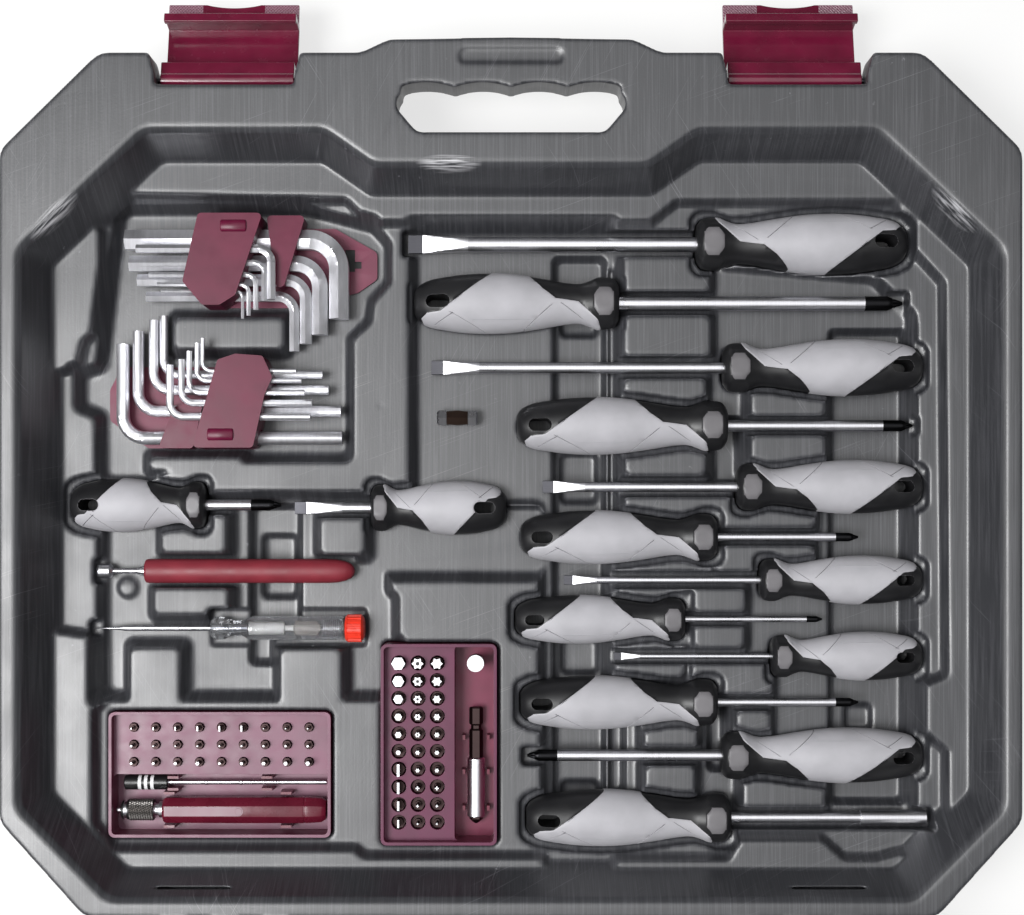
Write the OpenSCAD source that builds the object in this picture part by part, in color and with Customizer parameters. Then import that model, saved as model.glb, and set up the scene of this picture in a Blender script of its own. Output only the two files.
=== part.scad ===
// Blow-moulded hard tool case, open, with its fitted screwdriver and bit set.
// Millimetres. The base half lies on its back: X runs along the hinge, +Y points to the handle,
// +Z up, and the origin is the centre of the base half's flat back.

/* [Case] */
// Width of the rim flange, side to side
case_w = 512; // [508:1:560]
// Distance from the centre to the handle edge of the flange
edge_front = 216; // [214:1:226]
// Distance from the centre to the hinge edge of the flange
edge_rear = 217; // [214:1:240]
// Depth of one half, from its back to the parting plane
half_depth = 58; // [54:1:75]
// Corner cut at the handle side, measured along X
corner_front = 50; // [35:1:60]
// Corner cut at the hinge side, measured along X
corner_rear = 43; // [30:1:50]
// Width of the rim flange outside the cavity, at the sides and the hinge edge
flange_w = 7.5; // [6:0.5:10]
// Distance from the handle edge of the flange to the cavity
front_band = 37; // [34:1:40]
// Thickness of the rim flange
flange_t = 14; // [10:1:18]
// Thickness of the handle and latch slab
slab_t = 22; // [19:1:26]
// Thickness of the outer skin at the back
back_t = 2; // [1.5:0.25:2.5]
// How far the inner walls lean in from the rim to the deck
wall_lean = 15; // [9:0.5:17]

/* [Handle] */
// Width of the raised handle edge
handle_w = 150; // [140:1:170]
// How far the handle edge stands out past the flange
handle_out = 7.5; // [5:0.5:14]
// Length of the finger hole
grip_l = 118; // [105:1:124]
// Width of the finger hole
grip_w = 25; // [22:0.5:27]
// Distance from the centre to the inner edge of the finger hole
grip_y = 176; // [174:0.5:178]
// Finger scallop pitch
finger_pitch = 28.4; // [26:0.2:30]
// Finger scallop depth
finger_d = 2.6; // [1:0.2:4]
// How far the cavity steps back under the handle
grip_step = 17.5; // [14:0.5:19]

/* [Latches] */
// Distance from the centre to the middle of each latch
latch_x = 143.4; // [138:0.1:148]
// Width of a latch
latch_w = 67.5; // [50:0.5:72]
// Wall thickness of a latch
latch_t = 2.5; // [2:0.1:3]
// Height of the latch pivot below the parting plane
pivot_drop = 12; // [11:0.5:13]
// Radius of the latch barrel
barrel_r = 4; // [3.5:0.1:4.4]
// Radius of the latch pin
latch_pin_r = 1.5; // [1:0.1:2]
// Height of the hook above the pivot, measured to its catching face
hook_h = 32.2; // [30:0.2:33]
// How far the latch bridges outwards from its pivot line
bridge_out = 10.5; // [8:0.5:14]
// Length of the thumb tab past the hook
thumb_l = 11.3; // [8:0.1:16]
// Angle between the closed latch and the open latch
latch_swing = 104; // [95:1:110]

/* [Hinge] */
// Distance from the centre to the middle of each hinge
hinge_x = 143; // [100:1:170]
// Length of each hinge
hinge_l = 64; // [50:1:80]
// Radius of the hinge knuckles
knuckle_r = 5.5; // [4.5:0.1:6.5]
// Radius of the hinge pins
hinge_pin_r = 2; // [1.5:0.1:2.5]

/* [Tray] */
// Height of the tray's perimeter ledge above the back
ledge_z = 32; // [28:0.5:36]
// Height of the tray deck above the back
deck_z = 25; // [24:0.5:28]
// Height of the tray floor
floor_z = 15; // [12:0.5:16]
// Height of the finger channels
channel_z = 9; // [6:0.5:10]
// Depth of the small wells in the channels
well_d = 4; // [2:0.25:5]
// Sideways lean of the tray's steps for each unit of height
draft = 0.42; // [0.2:0.02:0.5]
// Height of the tool axes
axis_z = 21; // [20.5:0.25:23]
// Free space between a tool and its nest
nest_gap = 0.5; // [0.3:0.1:0.8]
// Extra width of a nest above the tool axis
nest_relief = 3; // [0.8:0.1:4]
// Extra width of a blade groove on each side
groove_gap = 2; // [1:0.25:3]

/* [Lid] */
// Thickness of the formed lid panel
lid_panel_t = 6; // [4:0.5:10]
// Height of the hold-down bars on the lid panel
lid_bar_h = 9; // [5:0.5:14]

/* [Screwdrivers] */
// Length of the large handles
handle_l_large = 109; // [100:1:112]
// Length of the medium handles
handle_l_medium = 102; // [96:1:104]
// Length of the small handles
handle_l_small = 84; // [76:1:88]
// Length of the stubby handles
handle_l_stubby = 70; // [64:1:72]
// Half-width of the large handles
handle_r_large = 15.5; // [14:0.1:16]
// Half-width of the medium handles
handle_r_medium = 13.8; // [12.5:0.1:14.4]
// Half-width of the small handles
handle_r_small = 12.5; // [11.5:0.1:13.2]
// Depth to which a blade is set in its handle
tang_l = 25; // [18:1:32]
// Distance from the centre to the butts of the right-hand handles
butt_right = 213.5; // [212:0.5:215]

/* [Bit boxes] */
// Length of the precision bit tray
precision_l = 115; // [112:1:117]
// Width of the precision bit tray
precision_w = 65; // [63:1:67]
// Height of the precision bit tray
precision_h = 20; // [16:1:24]
// Length of the bit box
bitbox_l = 104; // [100:1:105]
// Width of the bit box
bitbox_w = 60; // [58:1:61]
// Height of the bit box
bitbox_h = 24; // [20:1:28]
// Across-flats size of a standard bit
bit_af = 6.35; // [6:0.05:6.6]
// Across-flats size of a precision bit
small_bit_af = 4; // [3.6:0.1:4.4]

/* [Hidden] */
fine = 40;
eps = 0.01;
fit = 0.05;            // radial clearance of a pin held in the case
run = 0.1;             // radial clearance of a pin that something turns on
seam = 0.3;            // free space where two mouldings pass each other
edge_r = 12;           // rounding of the case corners in plan

half_w = case_w / 2;
rim_z = half_depth;
hinge_y = -edge_rear - knuckle_r - 1;
slot_floor_y = edge_front - 16;
pivot_y = slot_floor_y + barrel_r + 0.5;
pivot_z = rim_z - pivot_drop;
slot_w = latch_w + 2.5;
drawn_half_w = 256;    // half width of the case for which the places of the tools are given
left_group = -60;      // what lies left of this keeps to the left side
right_group = 15;      // what lies right of this keeps to the right side

// ---------- plan outlines ----------
function unit(v) = v / norm(v);
function left_of(v) = [-v.y, v.x];
function turn(v, a) = [v.x * cos(a) - v.y * sin(a), v.x * sin(a) + v.y * cos(a)];
function into(p, i) = unit(p[i] - p[(i + len(p) - 1) % len(p)]);
function out_of(p, i) = unit(p[(i + 1) % len(p)] - p[i]);

// Every side of a counter-clockwise outline moved inwards by d.
function inset(p, d) = [for (i = [0 : len(p) - 1])
    let (a = left_of(into(p, i)), b = left_of(out_of(p, i)))
    p[i] + (a + b) * d / (1 + a * b)];

// Corner i of an outline rounded to radius r, as steps + 1 points.
function corner_arc(p, i, r, steps) =
    let (a = into(p, i), b = out_of(p, i),
         side = a.x * b.y - a.y * b.x >= 0 ? 1 : -1,
         angle = side * acos(max(-1, min(1, a * b))),
         start = p[i] - a * r * tan(abs(angle) / 2),
         centre = start + left_of(a) * side * r)
    [for (k = [0 : steps]) centre + turn(start - centre, angle * k / steps)];
function rounded(p, r, steps = 3) = [for (i = [0 : len(p) - 1]) each corner_arc(p, i, r, steps)];
function swap_sides(p) = [for (i = [len(p) - 1 : -1 : 0]) [-p[i].x, p[i].y]];
function box_outline(x0, y0, x1, y1) = [[x0, y0], [x1, y0], [x1, y1], [x0, y1]];
function corners(b) = box_outline(b[0], b[1], b[2], b[3]);
function reverse(p) = [for (i = [len(p) - 1 : -1 : 0]) p[i]];

// The tools lie in a left, a middle and a right group, and the outer groups keep to their side of the case.
function group_x(x) =
    x < left_group ? x - half_w + drawn_half_w
    : x > right_group ? x + half_w - drawn_half_w
    : x;
function spread(p) = [for (q = p) [group_x(q.x), q.y]];

// A closed skin through rings given as [height, outline], with a fan from the centre at each end.
module loft(rings, centre = [0, 0]) {
    n = len(rings[0][1]);
    top = len(rings) - 1;
    points = concat(
        [for (r = rings) each [for (q = r[1]) [q.x, q.y, r[0]]]],
        [[centre.x, centre.y, rings[0][0]], [centre.x, centre.y, rings[top][0]]]);
    sides = [for (k = [0 : top - 1], i = [0 : n - 1])
        [k * n + i, k * n + (i + 1) % n, (k + 1) * n + (i + 1) % n, (k + 1) * n + i]];
    ends = [for (i = [0 : n - 1]) each [
        [(i + 1) % n, i, (top + 1) * n],
        [top * n + i, top * n + (i + 1) % n, (top + 1) * n + 1]]];
    polyhedron(points, [for (f = concat(sides, ends)) [for (j = [len(f) - 1 : -1 : 0]) f[j]]]);
}

module prism(outline, z0, z1, r = 0) {
    translate([0, 0, z0]) linear_extrude(z1 - z0) polygon(r > 0 ? rounded(outline, r) : outline);
}
module cylinder_x(r, x0, x1) {
    translate([x0, 0, 0]) rotate([0, 90, 0]) cylinder(r = r, h = x1 - x0, $fn = fine);
}

// Right half of the flange outline, from the hinge edge round to the middle of the handle.
flange_right = [
    [half_w - corner_rear, -edge_rear],
    [half_w, -edge_rear + corner_rear + 5],
    [half_w, edge_front - corner_front + 1],
    [half_w - corner_front, edge_front],
    [handle_w / 2, edge_front],
    [handle_w / 2 - 14, edge_front + handle_out - 1],
    [0, edge_front + handle_out]];
flange_outline = concat(
    flange_right,
    [for (p = swap_sides(flange_right)) if (p.x < 0) p]);

// Right half of the cavity outline at the rim, and its step under the handle.
cavity_x = half_w - flange_w;
cavity_front = edge_front - front_band;
cavity_rear = -edge_rear + flange_w - 0.5;
cavity_right = [
    [cavity_x - corner_rear - 3, cavity_rear],
    [cavity_x, cavity_rear + corner_rear + 4],
    [cavity_x, edge_front - corner_front - 48],
    [cavity_x - corner_front - 14, cavity_front],
    [handle_w / 2 + 18, cavity_front],
    [handle_w / 2 - 7, cavity_front - grip_step]];
cavity_outline = concat(cavity_right, swap_sides(cavity_right));
function cavity(d) = rounded(inset(cavity_outline, d), edge_r - d / 3);
// Outer faces of the box behind the flange, which step back under the handle like the cavity.
function box_skin(d) = rounded(inset(cavity_outline, d), edge_r);

// ---------- the two halves ----------
module flange() {
    intersection() {
        prism(flange_outline, rim_z - slab_t, rim_z, edge_r);
        union() {
            prism(box_outline(-case_w, -case_w, case_w, case_w), rim_z - flange_t, rim_z);
            prism(box_outline(-case_w, cavity_front - grip_step - 10, case_w, case_w),
                rim_z - slab_t, rim_z);
        }
    }
}
module outer_box() {
    loft([
        [0, box_skin(9)],
        [2, box_skin(6)],
        [rim_z - flange_t - 3, box_skin(-3)],
        [rim_z - flange_t + 1, box_skin(-5)]]);
}
module cavity_space() {
    loft([
        [back_t, cavity(wall_lean + 2)],
        [deck_z + 1, cavity(wall_lean)],
        [rim_z - 8, cavity(5)],
        [rim_z - 2.5, cavity(3)],
        [rim_z + eps, cavity(0)]]);
}

// Finger hole: a rounded oblong with four scallops on the side of the fingers.
module grip_hole() {
    outer = grip_y + grip_w;
    scallop_r = (pow(finger_pitch / 2, 2) + pow(finger_d, 2)) / (2 * finger_d);
    hole = [
        [-grip_l / 2 + 12, grip_y], [grip_l / 2 - 12, grip_y],
        [grip_l / 2, grip_y + 14], [grip_l / 2 - 6, outer - 2.5],
        [-grip_l / 2 + 6, outer - 2.5], [-grip_l / 2, grip_y + 14]];
    prism(hole, -eps, rim_z + 1, 6);
    intersection() {
        for (k = [-1.5 : 1 : 1.5])
            translate([k * finger_pitch, outer + finger_d - 2.5 - scallop_r, -eps])
                cylinder(r = scallop_r, h = rim_z + 1, $fn = fine * 3);
        prism(box_outline(-grip_l / 2 + 4, outer - 6, grip_l / 2 - 4, outer + finger_d), -eps, rim_z + 1);
    }
}
// Shallow pockets that the mould leaves in the sloping walls.
module wall_pockets() {
    for (x = [-161, 161]) pocket(x, cavity_rear + 2, 40);
    pocket(-4, cavity_front - grip_step - 2, 46);
}
module pocket(x, y, w) {
    prism(box_outline(x - w / 2, y - 4, x + w / 2, y + 4), rim_z - 24, rim_z - 9, 3);
}
module handle_groove() {
    prism(box_outline(-26.5, edge_front - 6, 26.5, edge_front + 2.5), rim_z - 1.2, rim_z + 1, 4);
}

// Recessed field with a frame and three stiffening ribs on the flat back.
module back_relief() {
    field = box_outline(-half_w + 62, -edge_rear + 50, half_w - 62, edge_front - 74);
    difference() {
        prism(field, -1, 1, 14);
        for (x = [-90, 0, 90])
            prism(box_outline(x - 7, -edge_rear + 62, x + 7, edge_front - 86), -1, 1, 6);
    }
}

// Knuckles first, first + 2, ... of both hinges, with the web to the flange.
module knuckles(first) {
    count = 5;
    pitch = hinge_l / count;
    for (side = [-1, 1], k = [first : 2 : count - 1]) {
        x0 = side * hinge_x - hinge_l / 2 + k * pitch + seam / 2;
        translate([0, hinge_y, rim_z]) cylinder_x(knuckle_r, x0, x0 + pitch - seam);
        translate([x0, hinge_y, rim_z - knuckle_r])
            cube([pitch - seam, knuckle_r + 6, knuckle_r - seam / 2]);
    }
}
module hinge_bores(clearance) {
    for (side = [-1, 1]) translate([side * hinge_x, hinge_y, rim_z])
        cylinder_x(hinge_pin_r + clearance, -hinge_l, hinge_l);
}

// The half of the case that both mouldings share, before the latches.
module half_blank() {
    difference() {
        union() {
            flange();
            outer_box();
        }
        cavity_space();
        wall_pockets();
        grip_hole();
        handle_groove();
        back_relief();
    }
}

// ---------- base half ----------
module latch_slot(x) {
    gap = slot_w / 2;
    top = edge_front + 12;
    prism([[x - gap, slot_floor_y], [x + gap, slot_floor_y], [x + gap, slot_floor_y + 5],
           [x + gap + 6, top], [x - gap - 6, top], [x - gap, slot_floor_y + 5]],
        -eps, rim_z + 1);
}
module latch_pin_at(x, r) {
    translate([x, pivot_y, pivot_z]) cylinder_x(r, -slot_w / 2 - 5, slot_w / 2 + 5);
}
module base_shell() {
    color("#4a4b50") difference() {
        union() {
            half_blank();
            knuckles(0);
        }
        for (side = [-1, 1]) {
            latch_slot(side * latch_x);
            latch_pin_at(side * latch_x, latch_pin_r + fit);
        }
        hinge_bores(fit);
        driver_nest(driver("nut_driver"));
        box_nest(precision, precision_l, precision_w, precision_floor - 0.1);
    }
}

// ---------- lid half, drawn like the base half and then turned over its hinge ----------
module lid_at_rest() {
    translate([0, 2 * hinge_y, 0]) mirror([0, 1, 0]) children();
}
catch_y = pivot_y + bridge_out - 0.5;
catch_t = hook_h - pivot_drop - 0.6;
module lid_shell() {
    color("#45464b") lid_at_rest() difference() {
        union() {
            half_blank();
            knuckles(1);
        }
        // Room for the latch in front of and behind the catch, whose outer edge is bevelled.
        for (side = [-1, 1]) translate([side * latch_x - slot_w / 2, 0, 0]) rotate([90, 0, 90])
            linear_extrude(slot_w) polygon([
                [slot_floor_y, -eps], [edge_front + 12, -eps], [edge_front + 12, rim_z + 1],
                [catch_y, rim_z + 1], [catch_y, rim_z - catch_t + 3], [catch_y - 2.5, rim_z - catch_t],
                [slot_floor_y, rim_z - catch_t]]);
        hinge_bores(run);
    }
}
module lid_panel() {
    top = back_t + lid_panel_t;
    reach = cavity_x - wall_lean - 22;
    color("#4f5055") lid_at_rest() {
        intersection() {
            cavity_space();
            prism(box_outline(-case_w, -case_w, case_w, case_w), back_t, top);
        }
        for (x = [-0.72, -0.24, 0.24, 0.72] * reach)
            prism(box_outline(x - 24, cavity_rear + 42, x + 24, cavity_front - 62), top, top + lid_bar_h, 8);
    }
}

// ---------- latches ----------
// Section of the closed latch: u outwards, v upwards from the pivot.
hook_top = hook_h + latch_t + 2.2;
panel_u = bridge_out + latch_t;
latch_section = [
    [-latch_t - 0.5, 0], [0, -barrel_r + 1.2], [0.6, 4.5], [0.6, 6.5], [panel_u, 6.5],
    [panel_u, hook_top - 2],
    [panel_u - 2, hook_top + 2], [panel_u - 2, hook_top + thumb_l - 1],
    [panel_u - 2 - latch_t, hook_top + thumb_l], [panel_u - 2 - latch_t, hook_top],
    [-2.5, hook_top], [-2.5, hook_h], [0.5, hook_h], [1.5, hook_top - latch_t],
    [bridge_out, hook_top - latch_t], [bridge_out, 6.5 + latch_t], [-latch_t - 0.5, 6.5 + latch_t]];
module latch(side) {
    scoop_w = 29;
    scoop_d = 1.9;
    scoop_r = (pow(scoop_w / 2, 2) + pow(scoop_d, 2)) / (2 * scoop_d);
    color("#6e1f35") translate([side * latch_x, pivot_y, pivot_z]) rotate([-latch_swing, 0, 0])
        difference() {
            union() {
                translate([-latch_w / 2, 0, 0]) rotate([90, 0, 90])
                    linear_extrude(latch_w) polygon(latch_section);
                cylinder_x(barrel_r, -latch_w / 2, latch_w / 2);
            }
            cylinder_x(latch_pin_r + run, -latch_w, latch_w);
            translate([0, -1, hook_top + thumb_l + scoop_r - scoop_d]) rotate([-90, 0, 0])
                cylinder(r = scoop_r, h = panel_u + 2, $fn = fine * 2);
        }
}
module latch_left() { latch(-1); }
module latch_right() { latch(1); }
module latch_pin_left() { color("silver") latch_pin_at(-latch_x, latch_pin_r); }
module latch_pin_right() { color("silver") latch_pin_at(latch_x, latch_pin_r); }
module hinge_pin(side) {
    color("silver") translate([side * hinge_x, hinge_y, rim_z])
        cylinder_x(hinge_pin_r, -hinge_l / 2, hinge_l / 2);
}
module hinge_pin_left() { hinge_pin(-1); }
module hinge_pin_right() { hinge_pin(1); }

// ---------- screwdrivers ----------
// [name, tip, y, x of the bolster, direction of the blade, handle length, handle half-width,
//  blade length, blade radius, tip width]
drivers = [
    ["slotted_8", "flat", 125.6, butt_right - 8 - handle_l_large, -1, handle_l_large, handle_r_large,
        150, 3.9, 10],
    ["phillips_3", "cross", 94.8, 55.9, 1, handle_l_medium + 4, handle_r_large, 148, 3.8, 8],
    ["slotted_6", "flat", 61.3, butt_right - handle_l_medium - 1, -1, handle_l_medium + 1,
        handle_r_medium + 0.8, 152, 3, 7.5],
    ["phillips_2", "cross", 31.1, 112.2, 1, handle_l_large, handle_r_medium + 1, 97, 3, 6],
    ["slotted_5", "flat", -0.8, butt_right - handle_l_medium + 6, -1, handle_l_medium - 6, handle_r_medium,
        101, 2.6, 6.5],
    ["phillips_1", "cross", -26.9, 107, 1, handle_l_medium, handle_r_medium, 74, 2.3, 4.6],
    ["slotted_4", "flat", -49.3, butt_right - handle_l_small, -1, handle_l_small, handle_r_small,
        102, 1.9, 5],
    ["phillips_0", "cross", -69.7, 90.3, 1, handle_l_small + 4, handle_r_small, 72, 1.6, 3.2],
    ["slotted_3", "flat", -89, butt_right - handle_l_small + 6, -1, handle_l_small - 6, handle_r_small,
        82, 1.4, 4],
    ["pozidriv_1", "cross", -113, 107, 1, handle_l_medium, handle_r_medium, 74, 2.3, 4.6],
    ["pozidriv_2", "cross", -140.7, butt_right - handle_l_medium - 2, -1, handle_l_medium + 2,
        handle_r_medium + 0.3, 101, 3, 6],
    ["nut_driver", "socket", -173, 114, 1, handle_l_large - 3, handle_r_large - 1, 102, 2.8, 7.6],
    ["stubby_phillips", "cross", -10.2, -158.7, 1, handle_l_stubby, handle_r_medium, 39, 3, 6],
    ["stubby_slotted", "flat", -11.7, -72.6, -1, handle_l_stubby, handle_r_medium, 40, 3, 6.5]];

function driver(name) = [for (d = drivers) if (d[0] == name) d][0];

// Share of the half-width at each share of the handle length, from the bolster to the butt.
handle_form = [[0, 0.6], [0.02, 0.8], [0.05, 0.87], [0.1, 0.87], [0.14, 0.76], [0.19, 0.66], [0.26, 0.69],
    [0.37, 0.82], [0.5, 0.95], [0.62, 1], [0.75, 0.97], [0.86, 0.87], [0.93, 0.77], [0.98, 0.58], [1, 0.36]];
function handle_curve(l, r, grow) = [for (p = handle_form)
    [p[0] * (l + 2 * grow) - grow, p[1] * r + grow]];

module at_driver(d) {
    translate([group_x(d[3]), d[2], axis_z]) rotate([0, 0, d[4] > 0 ? 180 : 0]) children();
}
// Body of revolution about X through the points [x, radius].
module turned(curve) {
    rotate([90, 0, 90]) rotate_extrude($fn = fine)
        polygon(concat([[0, curve[0].x]], [for (p = curve) [p.y, p.x]], [[0, curve[len(curve) - 1].x]]));
}
module driver_handle(d) {
    l = d[5];
    r = d[6];
    hole_w = r * 0.42;
    color("#232326") at_driver(d) difference() {
        union() {
            turned([for (p = handle_curve(l, r, 0)) if (p.x > 0.16 * l) p]);
            intersection() {
                turned([for (p = handle_curve(l, r, 0)) if (p.x < 0.2 * l) p]);
                rotate([30, 0, 0]) rotate([0, 90, 0]) cylinder(r = 0.95 * r, h = l / 4, $fn = 6);
            }
        }
        translate([-eps, 0, 0]) cylinder_x(d[8] + fit, 0, tang_l);
        for (x = [l - r * 1.15, l - r * 0.75]) translate([x, 0, -r])
            cylinder(r = hole_w / 2, h = 2 * r, $fn = fine);
        translate([l - r * 1.15, -hole_w / 2, -r]) cube([r * 0.4, hole_w, 2 * r]);
    }
}
module flat_tip(r, w, l) {
    intersection() {
        translate([0, 0, -r]) linear_extrude(2 * r)
            polygon([[-l, -w / 2], [-l * 0.72, -w / 2], [0, -r], [0, r], [-l * 0.72, w / 2], [-l, w / 2]]);
        translate([0, w, 0]) rotate([90, 0, 0]) linear_extrude(2 * w)
            polygon([[-l, -0.5], [0, -r], [0, r], [-l, 0.5]]);
    }
}
module cross_tip(r, l) {
    difference() {
        rotate([0, -90, 0]) cylinder(r1 = r, r2 = r * 0.25, h = l, $fn = fine);
        for (a = [45 : 90 : 315]) rotate([a, 0, 0]) translate([-l - 1, r * 0.16, r * 0.16])
            cube([l * 0.8, r, r]);
    }
}
module driver_blade(d) {
    l = d[7];
    r = d[8];
    tip = d[1] == "flat" ? 22 * r / 3.9 + 4 : d[1] == "cross" ? d[9] : 34;
    color("#c9cbce") at_driver(d) {
        cylinder_x(r, -l + tip, tang_l - seam);
        if (d[1] == "flat") translate([-l + tip, 0, 0]) flat_tip(r, d[9], tip);
        if (d[1] == "cross") translate([-l + tip, 0, 0]) cross_tip(r, tip);
        if (d[1] == "socket") difference() {
            translate([-l, 0, 0]) cylinder_x(d[9] / 2, 0, tip);
            translate([-l, 0, 0]) rotate([0, 90, 0]) cylinder(r = d[9] * 0.4, h = 10, center = true, $fn = 6);
        }
    }
}
// Space that a driver needs in the tray: a cradle under the axis and an open nest above it.
module driver_nest(d) {
    l = d[7];
    wide = max(d[8], d[9] / 2) + groove_gap;
    curve = handle_curve(d[5], d[6], nest_gap);
    open = handle_curve(d[5], d[6], nest_gap + nest_relief);
    at_driver(d) {
        turned(curve);
        linear_extrude(rim_z) polygon(concat(
            [for (p = open) p], [for (i = [len(open) - 1 : -1 : 0]) [open[i].x, -open[i].y]]));
        translate([-l - 3, -wide, -max(d[8], d[9] / 2) - 1]) cube([l + 4, 2 * wide, rim_z]);
    }
}

// ---------- magnetic pick-up, tester and coupler ----------
pickup = [group_x(-81.4), -44.6];       // right end of the sleeve, y
pickup_r = 5.4;
pickup_l = 109;
module at_pickup() { translate([pickup.x, pickup.y, axis_z]) children(); }
module pickup_sleeve() {
    color("#7d2030") at_pickup() difference() {
        turned([[-pickup_l, pickup_r - 0.6], [-pickup_l + 1, pickup_r], [-16, pickup_r], [-6, pickup_r - 0.8],
            [-1, pickup_r - 2.6], [0, pickup_r - 4]]);
        cylinder_x(1.4 + fit, -pickup_l - 1, -pickup_l + 20);
    }
}
module pickup_rod() { color("silver") at_pickup() cylinder_x(1.4, -pickup_l - 17, -pickup_l + 19); }
module pickup_magnet() {
    color("silver") at_pickup() turned([[-pickup_l - 25, 3], [-pickup_l - 24, 3.9], [-pickup_l - 18.5, 3.9],
        [-pickup_l - 17, 2.4]]);
}
tester = [group_x(-76.2), -74.4];       // right end of the cap, y
tester_r = 6.2;
module at_tester() { translate([tester.x, tester.y, axis_z]) children(); }
module tester_body() {
    color("#c8ccd2") at_tester() difference() {
        turned([[-80, 4.2], [-78, 6], [-73, 6], [-71, 4.4], [-64, 4], [-61, 5.6], [-58, tester_r],
            [-10 - seam * 3, tester_r]]);
        cylinder_x(1.5 + fit, -81, -60);
    }
}
module tester_blade() {
    color("silver") at_tester() union() {
        cylinder_x(1.5, -128, -60.5);
        translate([-128, 0, 0]) flat_tip(1.5, 2.6, 13);
    }
}
module tester_cap() {
    color("#d02a24") at_tester() turned([[-10, tester_r], [-8, 7.2], [-2, 7.2], [0, 5]]);
}
coupler = [-28, 35.2];
coupler_l = 21;
module bit_coupler() {
    color("silver") translate([coupler.x, coupler.y, axis_z - 1]) {
        turned([[-coupler_l / 2, 3.2], [-coupler_l / 2 + 0.6, 3.7], [-4.5, 3.7], [-4, 4.4], [4, 4.4],
            [4.5, 3.7], [coupler_l / 2 - 0.6, 3.7], [coupler_l / 2, 3.2]]);
    }
}

// ---------- key sets ----------
// One L key: size across flats, long arm along -X by l, short arm along -Y by s from the corner.
module key(af, l, s, sides) {
    r = af / 2 / (sides == 6 ? cos(30) : 1);
    bend = af * 1.4 + 1.5;
    translate([-l, 0, 0]) rotate([0, 90, 0]) cylinder(r = r, h = l - bend + 2 * eps, $fn = sides);
    translate([0, -s, 0]) rotate([-90, 0, 0]) rotate([0, 0, 90])
        cylinder(r = r, h = s - bend, $fn = sides);
    translate([-bend, -bend, 0]) rotate_extrude(angle = 90, $fn = fine)
        translate([bend, 0]) rotate(90) circle(r = r, $fn = sides);
}
key_low = 8;           // height of the lower layer of keys above the tray floor
key_high = 19.5;       // height of the upper layer
// [size, x of the short arm, y of the long arm, height, long arm, short arm]
hex_keys_set = [
    [10, -89.3, 127.5, key_low, 111, 41], [8, -99.2, 115.2, key_low, 99, 37],
    [6, -106.6, 106.6, key_low, 87.5, 33], [5, -112.6, 98.1, key_low, 77, 28.5],
    [4, -123, 121.3, key_high, 69.5, 26], [3, -126.6, 113.9, key_high, 63.5, 19.5],
    [2.5, -131, 107.9, key_high, 55, 18], [2, -134.7, 103, key_high, 47, 16],
    [1.5, -137.8, 99.4, key_high, 42, 14]];
torx_keys_set = [
    [7, -201.7, 24.7, key_low, 114, 48.7], [6, -193.8, 38.5, key_low, 105.5, 41.6],
    [5.2, -185.8, 49.5, key_low, 91, 36.4], [4.5, -180.6, 57.5, key_low, 82.6, 30.6],
    [4, -175.1, 35, key_high, 72, 26.6], [3.5, -169.2, 42, key_high, 67, 22.5],
    [3, -165.2, 47.4, key_high, 59, 21.3], [2.6, -161.2, 53.5, key_high, 53.6, 19.4],
    [2.2, -158.4, 58.5, key_high, 48, 16.9]];
module at_key(k, turned_over) {
    translate([group_x(k[1]), k[2], floor_z + k[3]]) rotate([0, 0, turned_over ? 180 : 0]) children();
}
module hex_keys() {
    color("#cfd1d4") for (k = hex_keys_set) at_key(k, false) key(k[0], k[4], k[5], 6);
}
module torx_keys() {
    color("#cfd1d4") for (k = torx_keys_set) at_key(k, true) key(k[0], k[4], k[5], 12);
}
clip_gap = 0.3;
module key_slots(set, turned_over) {
    for (k = set) at_key(k, turned_over)
        cylinder_x(k[0] / 2 / cos(30) + clip_gap, -150, -k[0]);
}
// A key clip: back plate, tall body over both layers, low body over the lower layer.
module key_clip(plate, tall, low, set, turned_over) {
    color("#6e1f35") difference() {
        union() {
            prism(spread(plate), floor_z + 0.2, floor_z + 2, 3);
            prism(spread(tall), floor_z + 1, floor_z + key_high + 4.5, 2);
            prism(spread(low), floor_z + 1, floor_z + key_low + 8, 2);
        }
        key_slots(set, turned_over);
    }
}
module hex_key_clip() {
    key_clip(
        [[-158, 93], [-110, 93], [-80, 101], [-70, 108], [-70, 122], [-92, 134.5], [-160, 134.5],
            [-166, 104]],
        [[-158, 92], [-149, 92], [-141, 97], [-127, 139], [-160, 139], [-168, 104]],
        [[-126, 139], [-106, 139], [-117, 103], [-121, 101]],
        hex_keys_set, false);
}
module torx_key_clip() {
    key_clip(
        [[-210, 50], [-210, 34], [-190, 19.5], [-134, 19.5], [-128, 40], [-140, 62], [-204, 62]],
        [[-163, 19], [-132, 19], [-126, 46], [-122, 55], [-127, 66], [-141, 67], [-150, 64]],
        [[-182, 19], [-164, 19], [-158, 46], [-174, 40]],
        torx_keys_set, true);
}

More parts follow.
